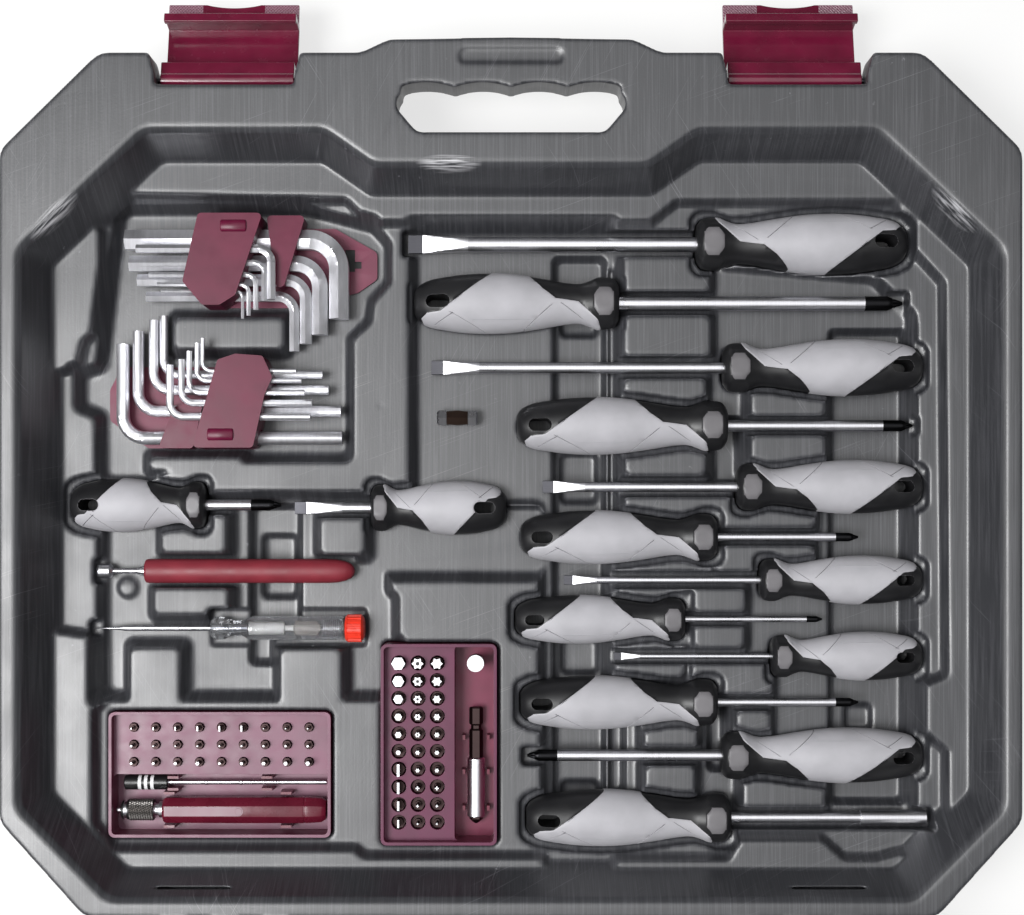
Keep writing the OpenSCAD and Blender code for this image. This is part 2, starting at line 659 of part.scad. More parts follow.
// ---------- bit boxes ----------
precision = [group_x(-208.3), -182.4];      // corner at the low x and low y
precision_floor = 8;
bitbox = [-67.3, -186.1];
bitbox_floor = 6;
wall = 1.6;
module precision_tray() {
    z0 = precision_floor;
    deck = precision_h - 6;
    color("#7d2b46") translate([precision.x, precision.y, z0]) difference() {
        prism(box_outline(0, 0, precision_l, precision_w), 0, precision_h, 3);
        prism(box_outline(wall, wall, precision_l - wall, precision_w - wall), deck, precision_h + 1, 2);
        prism(box_outline(wall, wall, precision_l - wall, 32), 4, precision_h + 1, 2);
        for (i = [0 : 8], j = [0 : 2]) translate([12 + i * 11.4, 38.5 + j * 9, 3])
            cylinder(r = small_bit_af / 2 / cos(30) + 0.2, h = precision_h, $fn = fine);
    }
}
module precision_bits() {
    color("#3a3636") for (i = [0 : 8], j = [0 : 2])
        translate([precision.x + 12 + i * 11.4, precision.y + 38.5 + j * 9, precision_floor + 3.1]) {
            cylinder(r = small_bit_af / 2 / cos(30), h = 14, $fn = 6);
            translate([0, 0, 14 - eps]) cylinder(r1 = 1.6, r2 = 0.7, h = 4, $fn = 16);
        }
}
module precision_extension() {
    color("#8a8a8c") translate([precision.x, precision.y + 27, precision_floor + 4 + 3.9 + seam]) {
        cylinder_x(3.9, 6, 29);
        cylinder_x(1.5, 28, precision_l - 3);
    }
}
module precision_driver() {
    color("#5e1a2c") translate([precision.x, precision.y + 13.2, precision_floor + 4 + 7.4 + seam]) {
        turned([[3, 2], [6, 5], [20, 5.5], [24, 4.2], [27, 6.5], [32, 7.4], [precision_l - 10, 7.4],
            [precision_l - 3, 6]]);
    }
}
module bit_box() {
    deck = bitbox_h - 6;
    color("#7d2b46") translate([bitbox.x, bitbox.y, bitbox_floor]) difference() {
        prism(box_outline(0, 0, bitbox_w, bitbox_l), 0, bitbox_h, 3);
        prism(box_outline(wall, wall, bitbox_w - wall, bitbox_l - wall), deck, bitbox_h + 1, 2);
        prism(box_outline(38, wall, bitbox_w - wall, bitbox_l - wall), 4, bitbox_h + 1, 2);
        for (i = [0 : 2], j = [0 : 9]) translate([9 + i * 10, 11 + j * 9.2, 3])
            cylinder(r = bit_af / 2 / cos(30) + 0.2, h = bitbox_h, $fn = fine);
    }
}
module bits() {
    color("#4a4644") for (i = [0 : 2], j = [0 : 9])
        translate([bitbox.x + 9 + i * 10, bitbox.y + 11 + j * 9.2, bitbox_floor + 3.1]) {
            cylinder(r = bit_af / 2 / cos(30), h = 15, $fn = 6);
            translate([0, 0, 15 - eps]) cylinder(r1 = 2.6, r2 = 1.4, h = 5, $fn = 16);
        }
}
holder_r = 4.6;
module bit_holder() {
    color("#b9bbbe") translate([bitbox.x + 49, bitbox.y, bitbox_floor + 4 + holder_r + seam])
        rotate([0, 0, 90]) {
        cylinder_x(holder_r, 9, 43);
        rotate([0, 90, 0]) translate([0, 0, 43 - eps]) cylinder(r = bit_af / 2 / cos(30), h = 27, $fn = 6);
    }
}
module socket_adapter() {
    color("#b9bbbe") translate([bitbox.x + 49, bitbox.y + 94, bitbox_floor + 4.1]) {
        cylinder(r = bit_af / 2 / cos(30), h = 12, $fn = 6);
        translate([0, 0, 12 - eps]) cylinder(r = 4.4, h = 8, $fn = fine);
    }
}

// ---------- tray ----------
// Perimeter ledge, seen from above: the line along which it drops to the deck, handle side first.
ledge_line = reverse(spread([
    [-202, 148], [-86, 145.5], [-74, 134], [73, 134], [86, 144.5], [197, 144.5], [205, 122], [221.5, 104],
    [223, -97], [206, -104], [205, -122.5], [223, -138], [223, -167], [233, -184], [199, -188], [188, -191],
    [173, -191], [161, -180.5], [116.5, -180.5], [111, -191], [51.5, -191], [50.5, -203], [22.5, -203],
    [18, -190], [-75, -190], [-80, -186], [-204, -186], [-213.5, -174], [-213.5, -117], [-206, -110],
    [-206, -84], [-216, -76], [-242, -72], [-242, 54], [-222, 60], [-219, 73], [-209.5, 82], [-209.5, 131],
    [-217, 142], [-208, 150]]));
keys_floor = spread([[-202, 142], [-212, 60], [-223, 57], [-223, 42], [-212, 38], [-212, 4], [-190, 4],
    [-170, 16], [-86, 16], [-86, 78], [-76, 87], [-75, 97], [-66, 107], [-66, 125], [-73, 133], [-107, 142]]);
keys_middle = [group_x(-140), 60];
tools_floor = spread([[-49, -8], [18, -8], [18, -96], [20, -174], [207, -174], [207, 88], [188, 106],
    [54, 118], [51, 132], [-49, 132]]);
tools_middle = [group_x(60), 20];
testers_floor = spread([[-211, -7], [-211, -108], [-59, -108], [-59, -62], [-66, -56], [-66, -7]]);
testers_middle = [group_x(-135), -60];
centre_floor = [-76, -46, 18, -12];
channels = [[24, -168, 48, 118], [169, -165, 205, 80], [-135, -92, -112, -12], [53, -160, 58, 112],
    [105, -148, 121, 34]];
// Shallow wells in the floors.
wells = [[27, 80, 44.5, 88], [27, -8, 44.5, 16], [27.5, -98, 45, -82], [27.5, -175, 45, -157],
    [177.5, -128, 189.5, -116.5], [-130, -58, -114, -27], [-210, 17, -198, 26]];
// Pads between the tools, as the outlines of their tops.
raised_pads = [
    [59, 100.5, 103, 120.5], [59, 67, 103.5, 88], [59, 42, 101, 56], [125, 36, 163, 50], [125, 10, 163, 26],
    [59.5, 5.5, 101, 19], [59.5, -21.5, 158, -4], [106.5, -44.5, 157.5, -31.5], [54.5, -54, 104, -36],
    [95.5, -66, 121.5, -53.5], [54.5, -67.5, 90.5, -55], [95.5, -84.5, 121, -72.5], [54.5, -99.5, 90, -77],
    [94.5, -109, 135.5, -92], [69.5, -136.5, 96.5, -122], [117.5, -130, 134.5, -117.5],
    [70, -162, 95.5, -146], [121, -168.5, 163, -150], [-175, 71, -118, 87], [-188, 8, -139, 14.5], [-181.5, -35, -148, -23],
    [-158, -33, -148, -15.5], [-99, -36, -76, -16.5], [-185.5, -67, -147, -53], [-198, -113, -172, -84.5],
    [-120, -113, -88, -85], [-58, -79, -18, -50]];
// Low tabs at the foot of three pads.
pad_tabs = [[-195, -117.5, -181, -113], [-113, -118.5, -99, -113], [-50, -81.5, -36, -79]];
button = [-201, -53.5];   // round stop on the floor beside the pick-up
button_r = 4.7;
vent = [-67.5, 41.5];      // moulding vent in the deck
vent_r = 1.2;

function middle(b) = [group_x((b[0] + b[2]) / 2), (b[1] + b[3]) / 2];
// Space whose sides lean outwards from the outline at its foot, which can all be seen from its centre.
module basin(foot, centre, z0, z1, r, arc = 2) {
    loft([[z0, rounded(foot, r, arc)], [z1, rounded(inset(foot, -draft * (z1 - z0)), r, arc)]], centre);
}
// Pad whose sides lean outwards from the outline of its top, down to z0.
module pad(box, z0, z1, r) {
    top = spread(corners(box));
    loft([[z0, rounded(inset(top, -draft * (z1 - z0)), r, 1)], [z1, rounded(top, r, 1)]], middle(box));
}
module box_basin(box, z0, z1, r) { basin(spread(corners(box)), middle(box), z0, z1, r, 1); }
module tray_floors() {
    basin(keys_floor, keys_middle, floor_z, ledge_z, 4);
    basin(tools_floor, tools_middle, floor_z, ledge_z, 5);
    basin(testers_floor, testers_middle, floor_z, ledge_z, 4);
    box_basin(centre_floor, floor_z, ledge_z, 4);
    for (c = channels) box_basin(c, channel_z, ledge_z, 2);
}
module tray_pads() {
    for (p = raised_pads) pad(p, channel_z - 1, deck_z, 2.5);
}
module box_nest(corner, size_x, size_y, z) {
    g = nest_gap;
    prism(box_outline(corner.x - g, corner.y - g, corner.x + size_x + g, corner.y + size_y + g), z, rim_z, 3);
}
module turned_nest(x0, x1, y, r, below) {
    prism(box_outline(x0 - 1.5, y - r - nest_relief, x1 + 1, y + r + nest_relief), axis_z - below, rim_z, 2);
}
module tray_nests() {
    for (d = drivers) driver_nest(d);
    turned_nest(pickup.x - pickup_l, pickup.x, pickup.y, pickup_r, pickup_r + nest_gap);
    turned_nest(pickup.x - pickup_l - 25, pickup.x - pickup_l, pickup.y, 3.9, 3.9 + nest_gap);
    turned_nest(tester.x - 80, tester.x, tester.y, 7.2, 7.2 + nest_gap);
    turned_nest(tester.x - 141, tester.x - 80, tester.y, 1.5, 1.5 + nest_gap);
    turned_nest(coupler.x - coupler_l / 2, coupler.x + coupler_l / 2, coupler.y, 4.4, 5.4 + nest_gap);
    box_nest(precision, precision_l, precision_w, precision_floor - 0.1);
    box_nest(bitbox, bitbox_w, bitbox_l, bitbox_floor - 0.1);
}
module base_tray() {
    whole = box_outline(-case_w, -case_w, case_w, case_w);
    color("#505156") difference() {
        intersection() {
            cavity_space();
            union() {
                difference() {
                    prism(whole, back_t, ledge_z);
                    basin(ledge_line, [0, 0], deck_z, ledge_z + eps, 3);
                    tray_floors();
                }
                tray_pads();
                for (t = pad_tabs) pad(t, channel_z, floor_z + 4, 1.5);
                translate([group_x(button.x), button.y, channel_z])
                    cylinder(r = button_r, h = floor_z + 2 - channel_z, $fn = fine);
            }
        }
        for (w = wells) box_basin(w, channel_z - well_d, channel_z + 1, 2);
        translate([group_x(vent.x), vent.y, deck_z - 6]) cylinder(r = vent_r, h = 8, $fn = fine);
        tray_nests();
    }
}

base_shell();
base_tray();
lid_shell();
lid_panel();
latch_left();
latch_right();
latch_pin_left();
latch_pin_right();
hinge_pin_left();
hinge_pin_right();
pickup_sleeve();
pickup_rod();
pickup_magnet();
tester_body();
tester_blade();
tester_cap();
bit_coupler();
hex_key_clip();
hex_keys();
torx_key_clip();
torx_keys();
precision_tray();
precision_bits();
precision_extension();
precision_driver();
bit_box();
bits();
bit_holder();
socket_adapter();
for (d = drivers) {
    driver_handle(d);
    driver_blade(d);
}
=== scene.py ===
"""Hard tool case with its fitted screwdriver and bit set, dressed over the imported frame."""

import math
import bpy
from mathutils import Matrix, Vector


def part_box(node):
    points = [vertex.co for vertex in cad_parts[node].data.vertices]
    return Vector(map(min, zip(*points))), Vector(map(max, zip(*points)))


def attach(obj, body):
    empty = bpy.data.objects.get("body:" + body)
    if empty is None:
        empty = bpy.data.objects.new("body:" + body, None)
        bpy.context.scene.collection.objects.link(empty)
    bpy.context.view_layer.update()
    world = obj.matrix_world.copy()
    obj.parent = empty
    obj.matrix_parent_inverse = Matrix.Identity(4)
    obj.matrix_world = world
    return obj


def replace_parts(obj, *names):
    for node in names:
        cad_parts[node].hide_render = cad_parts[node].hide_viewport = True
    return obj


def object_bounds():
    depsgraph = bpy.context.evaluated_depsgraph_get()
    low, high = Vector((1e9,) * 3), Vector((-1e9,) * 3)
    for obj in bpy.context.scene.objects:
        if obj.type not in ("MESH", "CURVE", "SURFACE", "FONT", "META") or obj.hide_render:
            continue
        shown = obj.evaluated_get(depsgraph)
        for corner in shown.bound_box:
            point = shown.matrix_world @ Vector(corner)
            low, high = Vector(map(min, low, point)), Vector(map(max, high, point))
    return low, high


bl_info = {
    "name": "Hard tool case",
    "version": (1, 0, 0),
    "blender": (4, 5, 0),
    "location": "View3D > Sidebar > Tool Case",
    "description": "Dresses a blow-moulded tool case and its fitted tools",
    "category": "Object",
}

import bmesh
import bpy
import numpy as np
from bpy.props import FloatProperty, FloatVectorProperty, IntProperty, PointerProperty
from mathutils import Matrix, Vector

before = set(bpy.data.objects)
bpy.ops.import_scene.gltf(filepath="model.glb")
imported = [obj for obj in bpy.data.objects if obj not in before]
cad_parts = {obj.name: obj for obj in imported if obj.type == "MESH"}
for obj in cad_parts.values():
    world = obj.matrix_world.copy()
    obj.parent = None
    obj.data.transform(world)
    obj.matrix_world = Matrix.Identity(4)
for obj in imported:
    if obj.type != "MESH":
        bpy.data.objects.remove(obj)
CAD_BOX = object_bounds()
MM = 0.001
CASE_RIM = 0.058
# A latch's hatched thumb pads in millimetres: how far from its middle they begin, how deep they are, and
# the spacing of their crossed lines.
PAD_FROM, PAD_DEEP, HATCH_PITCH = 16, 6.2, 3.7
# Middle of each whitened dent in the rim in millimetres, and its direction in degrees.
STRESS_MARKS = [(-229, 134, 45), (222.5, 137, -45), (-31, 160.5, 0)]
DRIVERS = ["slotted_8", "phillips_3", "slotted_6", "phillips_2", "slotted_5", "phillips_1", "slotted_4",
           "phillips_0", "slotted_3", "pozidriv_1", "pozidriv_2", "nut_driver", "stubby_phillips",
           "stubby_slotted"]
# Share of the half-width at each share of a handle's length, from the bolster to the butt.
HANDLE_FORM = [(0.0, 0.60), (0.02, 0.80), (0.05, 0.87), (0.10, 0.87), (0.14, 0.76), (0.19, 0.66),
               (0.26, 0.69), (0.37, 0.82), (0.50, 0.95), (0.62, 1.0), (0.75, 0.97), (0.86, 0.87),
               (0.93, 0.77), (0.98, 0.58), (1.0, 0.36)]
# Outlines on a handle whose blade points left: share of the length, share of the half-width.
GRIP_ZONE = [(0.085, 0.9), (0.105, 0.6), (0.20, 0.0), (0.31, -0.10), (0.378, -0.46), (0.433, -0.85),
             (0.44, -1.2), (0.605, -1.2), (0.62, -0.98), (0.87, 0.34), (0.935, 0.38), (0.965, 0.55),
             (0.93, 1.2), (0.09, 1.2)]
# Inside this outline the bolster's upward flat is painted grey, as a painted reflection.
BOLSTER_REFLECTION = [(0.048, 0.47), (0.098, 0.47), (0.124, 0.22), (0.124, -0.22), (0.098, -0.47),
                (0.048, -0.47), (0.028, -0.3), (0.028, 0.3)]
# The bolster's flats: their reach in shares of the length, and their corners in shares of the half-width.
BOLSTER_REACH, BOLSTER_CORNER = 0.15, 0.95
# Hang hole in shares of the half-width: its radius, how much longer than round it is, and how far from the
# butt the middle of its first round end lies.
HANG_RADIUS, HANG_LONG, HANG_PLACE = 0.22, 0.36, 0.98
# How deep the creases are pressed into the grip zone.
CREASE_DEPTH = 0.9 * MM
# The hang hole's bevelled rim, the slopes round the grip zone, the bolster mark and a crease, and how far
# the bolster mark stands up.
HANG_RIM, GRIP_SLOPE, MARK_SLOPE, CREASE_SLOPE = 0.6 * MM, 0.45 * MM, 0.3 * MM, 0.1 * MM
MARK_STEP = 0.25 * MM
# Creases in the grip zone, each from one point to another.
CREASES = [((0.47, 0.98), (0.33, 0.12)), ((0.41, 0.60), (0.72, 0.64)), ((0.66, 0.98), (0.82, 0.38)),
           ((0.90, 0.76), (0.80, 0.36)), ((0.18, 0.55), (0.29, 0.02))]
# Flutes of a cross tip in shares of the blade's radius: their radius, length, distance from the axis at the
# point and shift along the blade. They lean by so many degrees.
FLUTE_RADIUS, FLUTE_LONG, FLUTE_OUT, FLUTE_SHIFT, FLUTE_LEAN = 0.45, 4.4, 0.8, 1.8, 78
# How far a cross tip is blackened, in shares of the blade's radius.
BLACKENED = 5.2


def tips(*groups):
    """Shape and size in millimetres of each tip in a row of bits, from groups of one shape."""
    return [(shape, size) for shape, *group in groups for size in group]


# Columns of tips from the upper left corner. The precision tray's are written as rows.
BOX_COLUMNS = [tips(("hex", 7.4, 6.3, 5.2, 4.0, 3.5, 2.6), ("slot", 6.8, 6.2, 5.2, 4.4)),
               tips(("ring", 6.4, 5.3, 4.5, 3.7, 3.0), ("star", 2.6, 2.4), ("cross", 3.4, 2.4, 1.8)),
               tips(("star", 6.4, 5.4, 4.6, 3.8, 3.0, 2.6, 2.4), ("cross", 3.4, 2.4, 1.8))]
TRAY_COLUMNS = list(zip(
    tips(("slot", 1.0, 1.5, 2.0, 2.5, 3.0, 3.2), ("cross", 1.1, 1.2, 1.4)),
    tips(("star", 1.4), ("cross", 1.3, 1.3, 1.6), ("star", 1.0, 1.1, 1.2, 1.3, 1.4)),
    tips(("star", 1.5, 1.7), ("ring", 1.9, 2.2), ("hex", 1.3, 1.6, 1.9, 2.1, 2.3))))


def linear(hex_colour):
    """A colour written as sRGB hex, as the linear values that the shaders take."""
    parts = [int(hex_colour[i:i + 2], 16) / 255 for i in (1, 3, 5)]
    return tuple(c / 12.92 if c <= 0.04045 else ((c + 0.055) / 1.055) ** 2.4 for c in parts)


def shade(base, factor):
    return tuple(min(1, part * factor) for part in base)


def colour(name, hex_colour, note):
    return FloatVectorProperty(name=name, description=note, default=linear(hex_colour), subtype="COLOR",
                               size=3, min=0, max=1)


def length(name, metres, note):
    return FloatProperty(name=name, description=note, default=metres, subtype="DISTANCE",
                         unit="LENGTH", min=0)


def count(name, number, least, most, note):
    return IntProperty(name=name, description=note, default=number, min=least, max=most)


class CaseColours(bpy.types.PropertyGroup):
    shell: colour("Case plastic", "#2f3034", "Moulded polyethylene of both halves")
    stress: colour("Stress-whitened plastic", "#d2d2d6", "Whitened dents at the front corners of the rim")
    # Besides the real scuffs, this colour paints a highlight along the case's convex edges.
    scuff_and_highlight: colour("Scuffed plastic", "#8c8c92", "Rubbed and stressed places on the case")
    latch: colour("Latch plastic", "#64142f", "Glossy latches")
    # The thumb pads' colour is a painted highlight on the ridges of their hatch.
    hatch: colour("Latch thumb pads", "#94707f", "Rubbed ridges of the hatched thumb pads")
    rubber: colour("Handle core", "#1b1b1d", "Black core of the screwdriver handles")
    grip: colour("Handle grip", "#adacb1", "Soft grip zone of the screwdriver handles")
    # The bolster mark's grey is a painted reflection of the bolster's upward flat.
    flat_reflection: colour("Bolster mark", "#6a686b", "Flat on the bolster of a handle")
    rim: colour("Hang hole rim", "#8b898e", "Bevelled rim of the hang hole")
    chrome: colour("Satin chrome", "#dedee3", "Blades and keys")
    bright: colour("Bright ground steel", "#f0f0f4", "Wedges of the flat blades and tips of the bits")
    blackened: colour("Blackened steel", "#232325", "Tips of the cross-point blades")
    ground: colour("Ground steel", "#434347", "Ground ends of the flat blades")
    bit_steel: colour("Bit steel", "#3a2f2f", "Bits")
    bronze: colour("Browned steel", "#5b4a42", "Middle of the bit coupler")
    sleeve: colour("Pick-up sleeve", "#7c2531", "Plastic sleeve of the magnetic pick-up")
    cap: colour("Tester cap", "#dd3826", "Fluted cap of the voltage tester")
    clip: colour("Key clip", "#5e1030", "Body of the key clips")
    plate: colour("Key clip plate", "#6f3347", "Plate of the key clips")
    box: colour("Bit box", "#6f2440", "Tinted clear plastic of the bit boxes")
    # On the precision tray this colour is a painted sheen on every face that looks up.
    deck: colour("Precision tray deck", "#76495d", "Deck of the precision tray")
    inner: colour("Bit box deck", "#5c2140", "Deck of the bit box")
    driver: colour("Bit driver", "#5e1628", "Body of the small bit driver")
    strip: colour("Bit driver strip", "#8d717a", "Flat strip along the small bit driver")
    knurl: colour("Knurled steel", "#7b7876", "Knurled head of the small bit driver")
    ring: colour("Extension rings", "#d9d9db", "Rings on the extension's sleeve")
    floor: colour("Floor", "#f1f1ef", "Plain pale floor")


class CaseSizes(bpy.types.PropertyGroup):
    voxel: length("Moulding grid", 0.00115, "Grid that the two halves are re-meshed on")
    soften: count("Moulding smoothing", 3, 0, 20, "Passes that round the moulded edges")
    faces: count("Moulding triangles", 190000, 20000, 195000, "Most triangles in one half")
    grain: length("Grain", 0.0009, "Period of the plastic's fine grain")
    latch_edge: length("Latch edge", 0.0007, "Rounding of a latch's edges")
    metal_edge: length("Metal edge", 0.00015, "Rounding of blades, keys and bits")
    plastic_edge: length("Plastic edge", 0.0005, "Rounding of clips and boxes")
    grip_step: length("Grip step", 0.00035, "Height of the grip zone over the core")
    crease: length("Crease width", 0.001, "Width of the creases in the grip zone")
    sleeve: length("Pick-up sleeve radius", 0.0063, "Radius of the magnetic pick-up's sleeve")
    handle_sides: count("Handle sides", 48, 24, 96, "Faces round a handle")
    lamp_height: length("Lamp height", 1.7, "Height of the soft lamp over the resting plane")
    camera_height: length("Camera height", 0.908, "Height of the camera over the resting plane")


class Maker:
    """What the operators share: each makes its own pieces from the colours and sizes."""

    def execute(self, context):
        self.make(context.scene.case_colours, context.scene.case_sizes)
        return {"FINISHED"}


# ---------- materials ----------
def span(low, high, first=0, last=1):
    """Sockets of a Map Range node that spread low to high between two values."""
    return {"From_Min": low, "From_Max": high, "To_Min": first, "To_Max": last}


class Finish:
    """A procedural material on one Principled shader."""

    def __init__(self, name, base, rough, **sockets):
        self.material = bpy.data.materials.new(name)
        self.material.use_nodes = True
        self.tree = self.material.node_tree
        self.shader = self.tree.nodes["Principled BSDF"]
        self.shader.inputs["Base Color"].default_value = (*base, 1)
        self.shader.inputs["Roughness"].default_value = rough
        for key, value in sockets.items():
            self.shader.inputs[key.replace("_", " ")].default_value = value

    def node(self, kind, settings=None, **links):
        """Adds a node with its settings, and sets or links its inputs by name, or by number as in i1."""
        node = self.tree.nodes.new(kind)
        for key, value in (settings or {}).items():
            setattr(node, key, value)
        for key, value in links.items():
            socket = node.inputs[int(key[1:]) if key[1:].isdigit() else key.replace("_", " ")]
            if isinstance(value, bpy.types.NodeSocket):
                self.tree.links.new(value, socket)
            else:
                socket.default_value = (*value, 1) if socket.type == "RGBA" and len(value) == 3 else value
        return node

    def measured(self, stretch=(1, 1, 1), turn=0, centre=(0, 0, 0)):
        """Object coordinates in steps of so many millimetres, turned in the plan about a centre."""
        place = self.node("ShaderNodeTexCoord").outputs["Object"]
        return self.node("ShaderNodeMapping", {"vector_type": "TEXTURE"}, Vector=place, Location=centre,
                         Rotation=(0, 0, math.radians(turn)),
                         Scale=[step * MM for step in stretch]).outputs[0]

    def cloud(self, period, part=None, detail=2, where=None):
        """A drifting pattern of the given period in millimetres; part is a span() of it."""
        fac = self.node("ShaderNodeTexNoise", Vector=where or self.measured(), Scale=1 / period,
                        Detail=detail).outputs["Fac"]
        return self.node("ShaderNodeMapRange", Value=fac, **part).outputs[0] if part else fac

    def layer(self, base, over, *masks):
        """Lays a colour over the base where every mask is white."""
        mask = masks[0]
        for more in masks[1:]:
            mask = self.node("ShaderNodeMath", {"operation": "MULTIPLY"}, i0=mask, i1=more).outputs[0]
        return self.node("ShaderNodeMix", {"data_type": "RGBA"}, i0=mask, i6=base, i7=over).outputs[2]

    def surface(self, base, rough, *reliefs):
        """Links the colour and roughness, and each relief: its height, depth in millimetres and strength."""
        links = {"Base Color": base, "Roughness": rough}
        for height, depth, strength in reliefs:
            under = {"Normal": links["Normal"]} if "Normal" in links else {}
            links["Normal"] = self.node("ShaderNodeBump", Height=height, Distance=depth * MM,
                                        Strength=strength, **under).outputs[0]
        for name, value in links.items():
            self.tree.links.new(value, self.shader.inputs[name])
        return self.material


def moulded_polyethylene(c, s):
    # Blow-moulded high-density polyethylene: a satin skin with a leathery grain, flow streaks down its
    # length, pale edges that are partly worn and partly a painted highlight, thin scratches, and dents that
    # whiten. The grain is drawn twice as coarse as it is.
    f = Finish("moulded_polyethylene", c.shell, 0.42, Specular_IOR_Level=1.0)
    base = f.layer(shade(c.shell, 0.86), shade(c.shell, 1.16), f.cloud(95, span(0.35, 0.7, 0.25, 0.75), 3))
    # Flow streaks, then pale edges, partly worn and partly a painted highlight, then scuffed places.
    base = f.layer(base, c.scuff_and_highlight, f.cloud(1, span(0.45, 0.75, 0, 0.16), 3, f.measured((0.7, 40, 40))))
    edge = f.node("ShaderNodeAttribute", {"attribute_name": "edge"}).outputs["Fac"]
    wear_and_highlight = f.node("ShaderNodeMapRange", Value=edge, **span(0.35, 0.9)).outputs[0]
    base = f.layer(base, c.scuff_and_highlight, wear_and_highlight, f.cloud(14, span(0.42, 0.62, 0.2, 0.55), 4))
    base = f.layer(base, c.scuff_and_highlight, f.cloud(3.5, span(0.7, 0.76, 0, 0.5), 5), f.cloud(60, span(0.5, 0.68)))
    for x, y, turn in STRESS_MARKS:
        local = f.measured((17, 4.5, 16), turn, (x * MM, y * MM, CASE_RIM))
        far = f.node("ShaderNodeVectorMath", {"operation": "LENGTH"}, i0=local).outputs["Value"]
        near = f.node("ShaderNodeMapRange", Value=far, **span(0.45, 1, 1, 0)).outputs[0]
        torn = f.cloud(1, span(0.42, 0.62, 0, 0.8), 3, f.measured((16, 0.9, 5), turn))
        base = f.layer(base, c.stress, near, torn)
    # Thin scratches in three directions, each only in some regions.
    for turn in (62, -58, 20):
        line = f.cloud(1, span(0.71, 0.74, 0, 0.3), 1, f.measured((70, 0.45, 70), turn))
        region = f.cloud(75, span(0.52, 0.6), 1, f.measured(centre=(-3 * turn * MM, -40 * MM, 0)))
        base = f.layer(base, c.scuff_and_highlight, line, region)
    # Relief: the grain, the streaks and the slow waves of a wall that no mould core has pressed.
    return f.surface(base, f.cloud(40, span(0.3, 0.7, 0.36, 0.48), 4),
                     (f.cloud(s.grain / MM, detail=1), 0.045, 0.7),
                     (f.cloud(1, where=f.measured((0.9, 60, 60))), 0.006, 0.4),
                     (f.cloud(34, detail=1), 0.3, 0.5))


def moulded_abs(name, c, hatched):
    # Injection-moulded ABS from a polished mould: deep gloss with slow ripples. The thumb pads have a
    # crossed hatch, whose ridges are painted pale as a highlight.
    f = Finish(name, c.latch, 0.2, Coat_Weight=0.35, Coat_Roughness=0.08)
    base = f.layer(shade(c.latch, 0.82), shade(c.latch, 1.2), f.cloud(18, span(0.35, 0.7), 3))
    reliefs = [(f.cloud(14, detail=1), 0.3, 0.5)]
    if hatched:
        one, other = (f.node("ShaderNodeTexWave", Scale=1 / HATCH_PITCH, Vector=f.measured(turn=turn))
                      .outputs["Fac"] for turn in (45, -45))
        height = f.node("ShaderNodeMath", {"operation": "MAXIMUM"}, i0=one, i1=other).outputs[0]
        reliefs.append((height, 0.4, 0.8))
        ridge_highlight = f.node("ShaderNodeMapRange", Value=height, **span(0.35, 0.9, 0.25, 0.95)).outputs[0]
        base = f.layer(base, c.hatch, ridge_highlight)
    return f.surface(base, f.cloud(6, span(0.35, 0.7, 0.16, 0.3), 4), *reliefs)


def moulded(name, base, rough, spread=0.12, grain=0.6, depth=0.02, **sockets):
    """Moulded plastic or rubber: a slow drift of tone, an uneven polish and the mould's fine grain."""
    f = Finish(name, base, rough, **sockets)
    tone = f.layer(shade(base, 1 - spread), shade(base, 1 + spread), f.cloud(14, span(0.35, 0.7), 3))
    return f.surface(tone, f.cloud(7, span(0.3, 0.7, max(0.02, rough - 0.06), rough + 0.08), 3),
                     (f.cloud(grain, detail=1), depth, 0.6))


def drawn(name, base, rough, along="x", grain=0.35):
    """Turned, ground or drawn metal: fine lines across the given direction, and an uneven polish."""
    f = Finish(name, base, rough, Metallic=1.0)
    lines = f.cloud(1, detail=3, where=f.measured([grain if axis == along else 9 for axis in "xyz"]))
    mask = f.node("ShaderNodeMapRange", Value=lines, **span(0.3, 0.7)).outputs[0]
    return f.surface(f.layer(shade(base, 0.92), shade(base, 1.06), mask),
                     f.cloud(14, span(0.3, 0.7, max(0.05, rough - 0.04), rough + 0.06)), (lines, 0.002, 0.4))


def clear(name, base, share, rough):
    """Clear plastic or glass, faintly uneven as it comes from the mould."""
    f = Finish(name, base, rough, IOR=1.49, Transmission_Weight=share)
    return f.surface(f.layer(shade(base, 0.85), shade(base, 1.15), f.cloud(25, span(0.35, 0.7))),
                     f.cloud(10, span(0.3, 0.7, max(0.03, rough - 0.05), rough + 0.1), 3),
                     (f.cloud(20, detail=1), 0.2, 0.3))


# ---------- meshes ----------
def moved(bm, vec):
    bmesh.ops.translate(bm, vec=vec, verts=bm.verts)


def settled(bm, at):
    """Turns every face of a closed body outwards and moves it to its place."""
    bmesh.ops.recalc_face_normals(bm, faces=bm.faces)
    moved(bm, at)
    return bm


def painted(faces, choose):
    """Gives each face the material slot that choose() finds for it."""
    for face in faces:
        face.material_index = choose(face)


def bevelled(bm, edges, width, segments=1, material=-1):
    """Bevels the edges and returns the new faces."""
    return bmesh.ops.bevel(bm, geom=edges, offset=width, offset_type="OFFSET", segments=segments,
                           profile=0.5, affect="EDGES", clamp_overlap=True, material=material)["faces"]


def keep(name, bm, *materials, smooth=35):
    """Makes the bmesh an object at the origin, shaded smooth up to the given angle."""
    mesh = bpy.data.meshes.new(name)
    bm.to_mesh(mesh)
    bm.free()
    mesh.shade_smooth()
    if smooth is not None:
        mesh.set_sharp_from_angle(angle=math.radians(smooth))
    for material in materials:
        mesh.materials.append(material)
    obj = bpy.data.objects.new(name, mesh)
    bpy.context.scene.collection.objects.link(obj)
    return obj


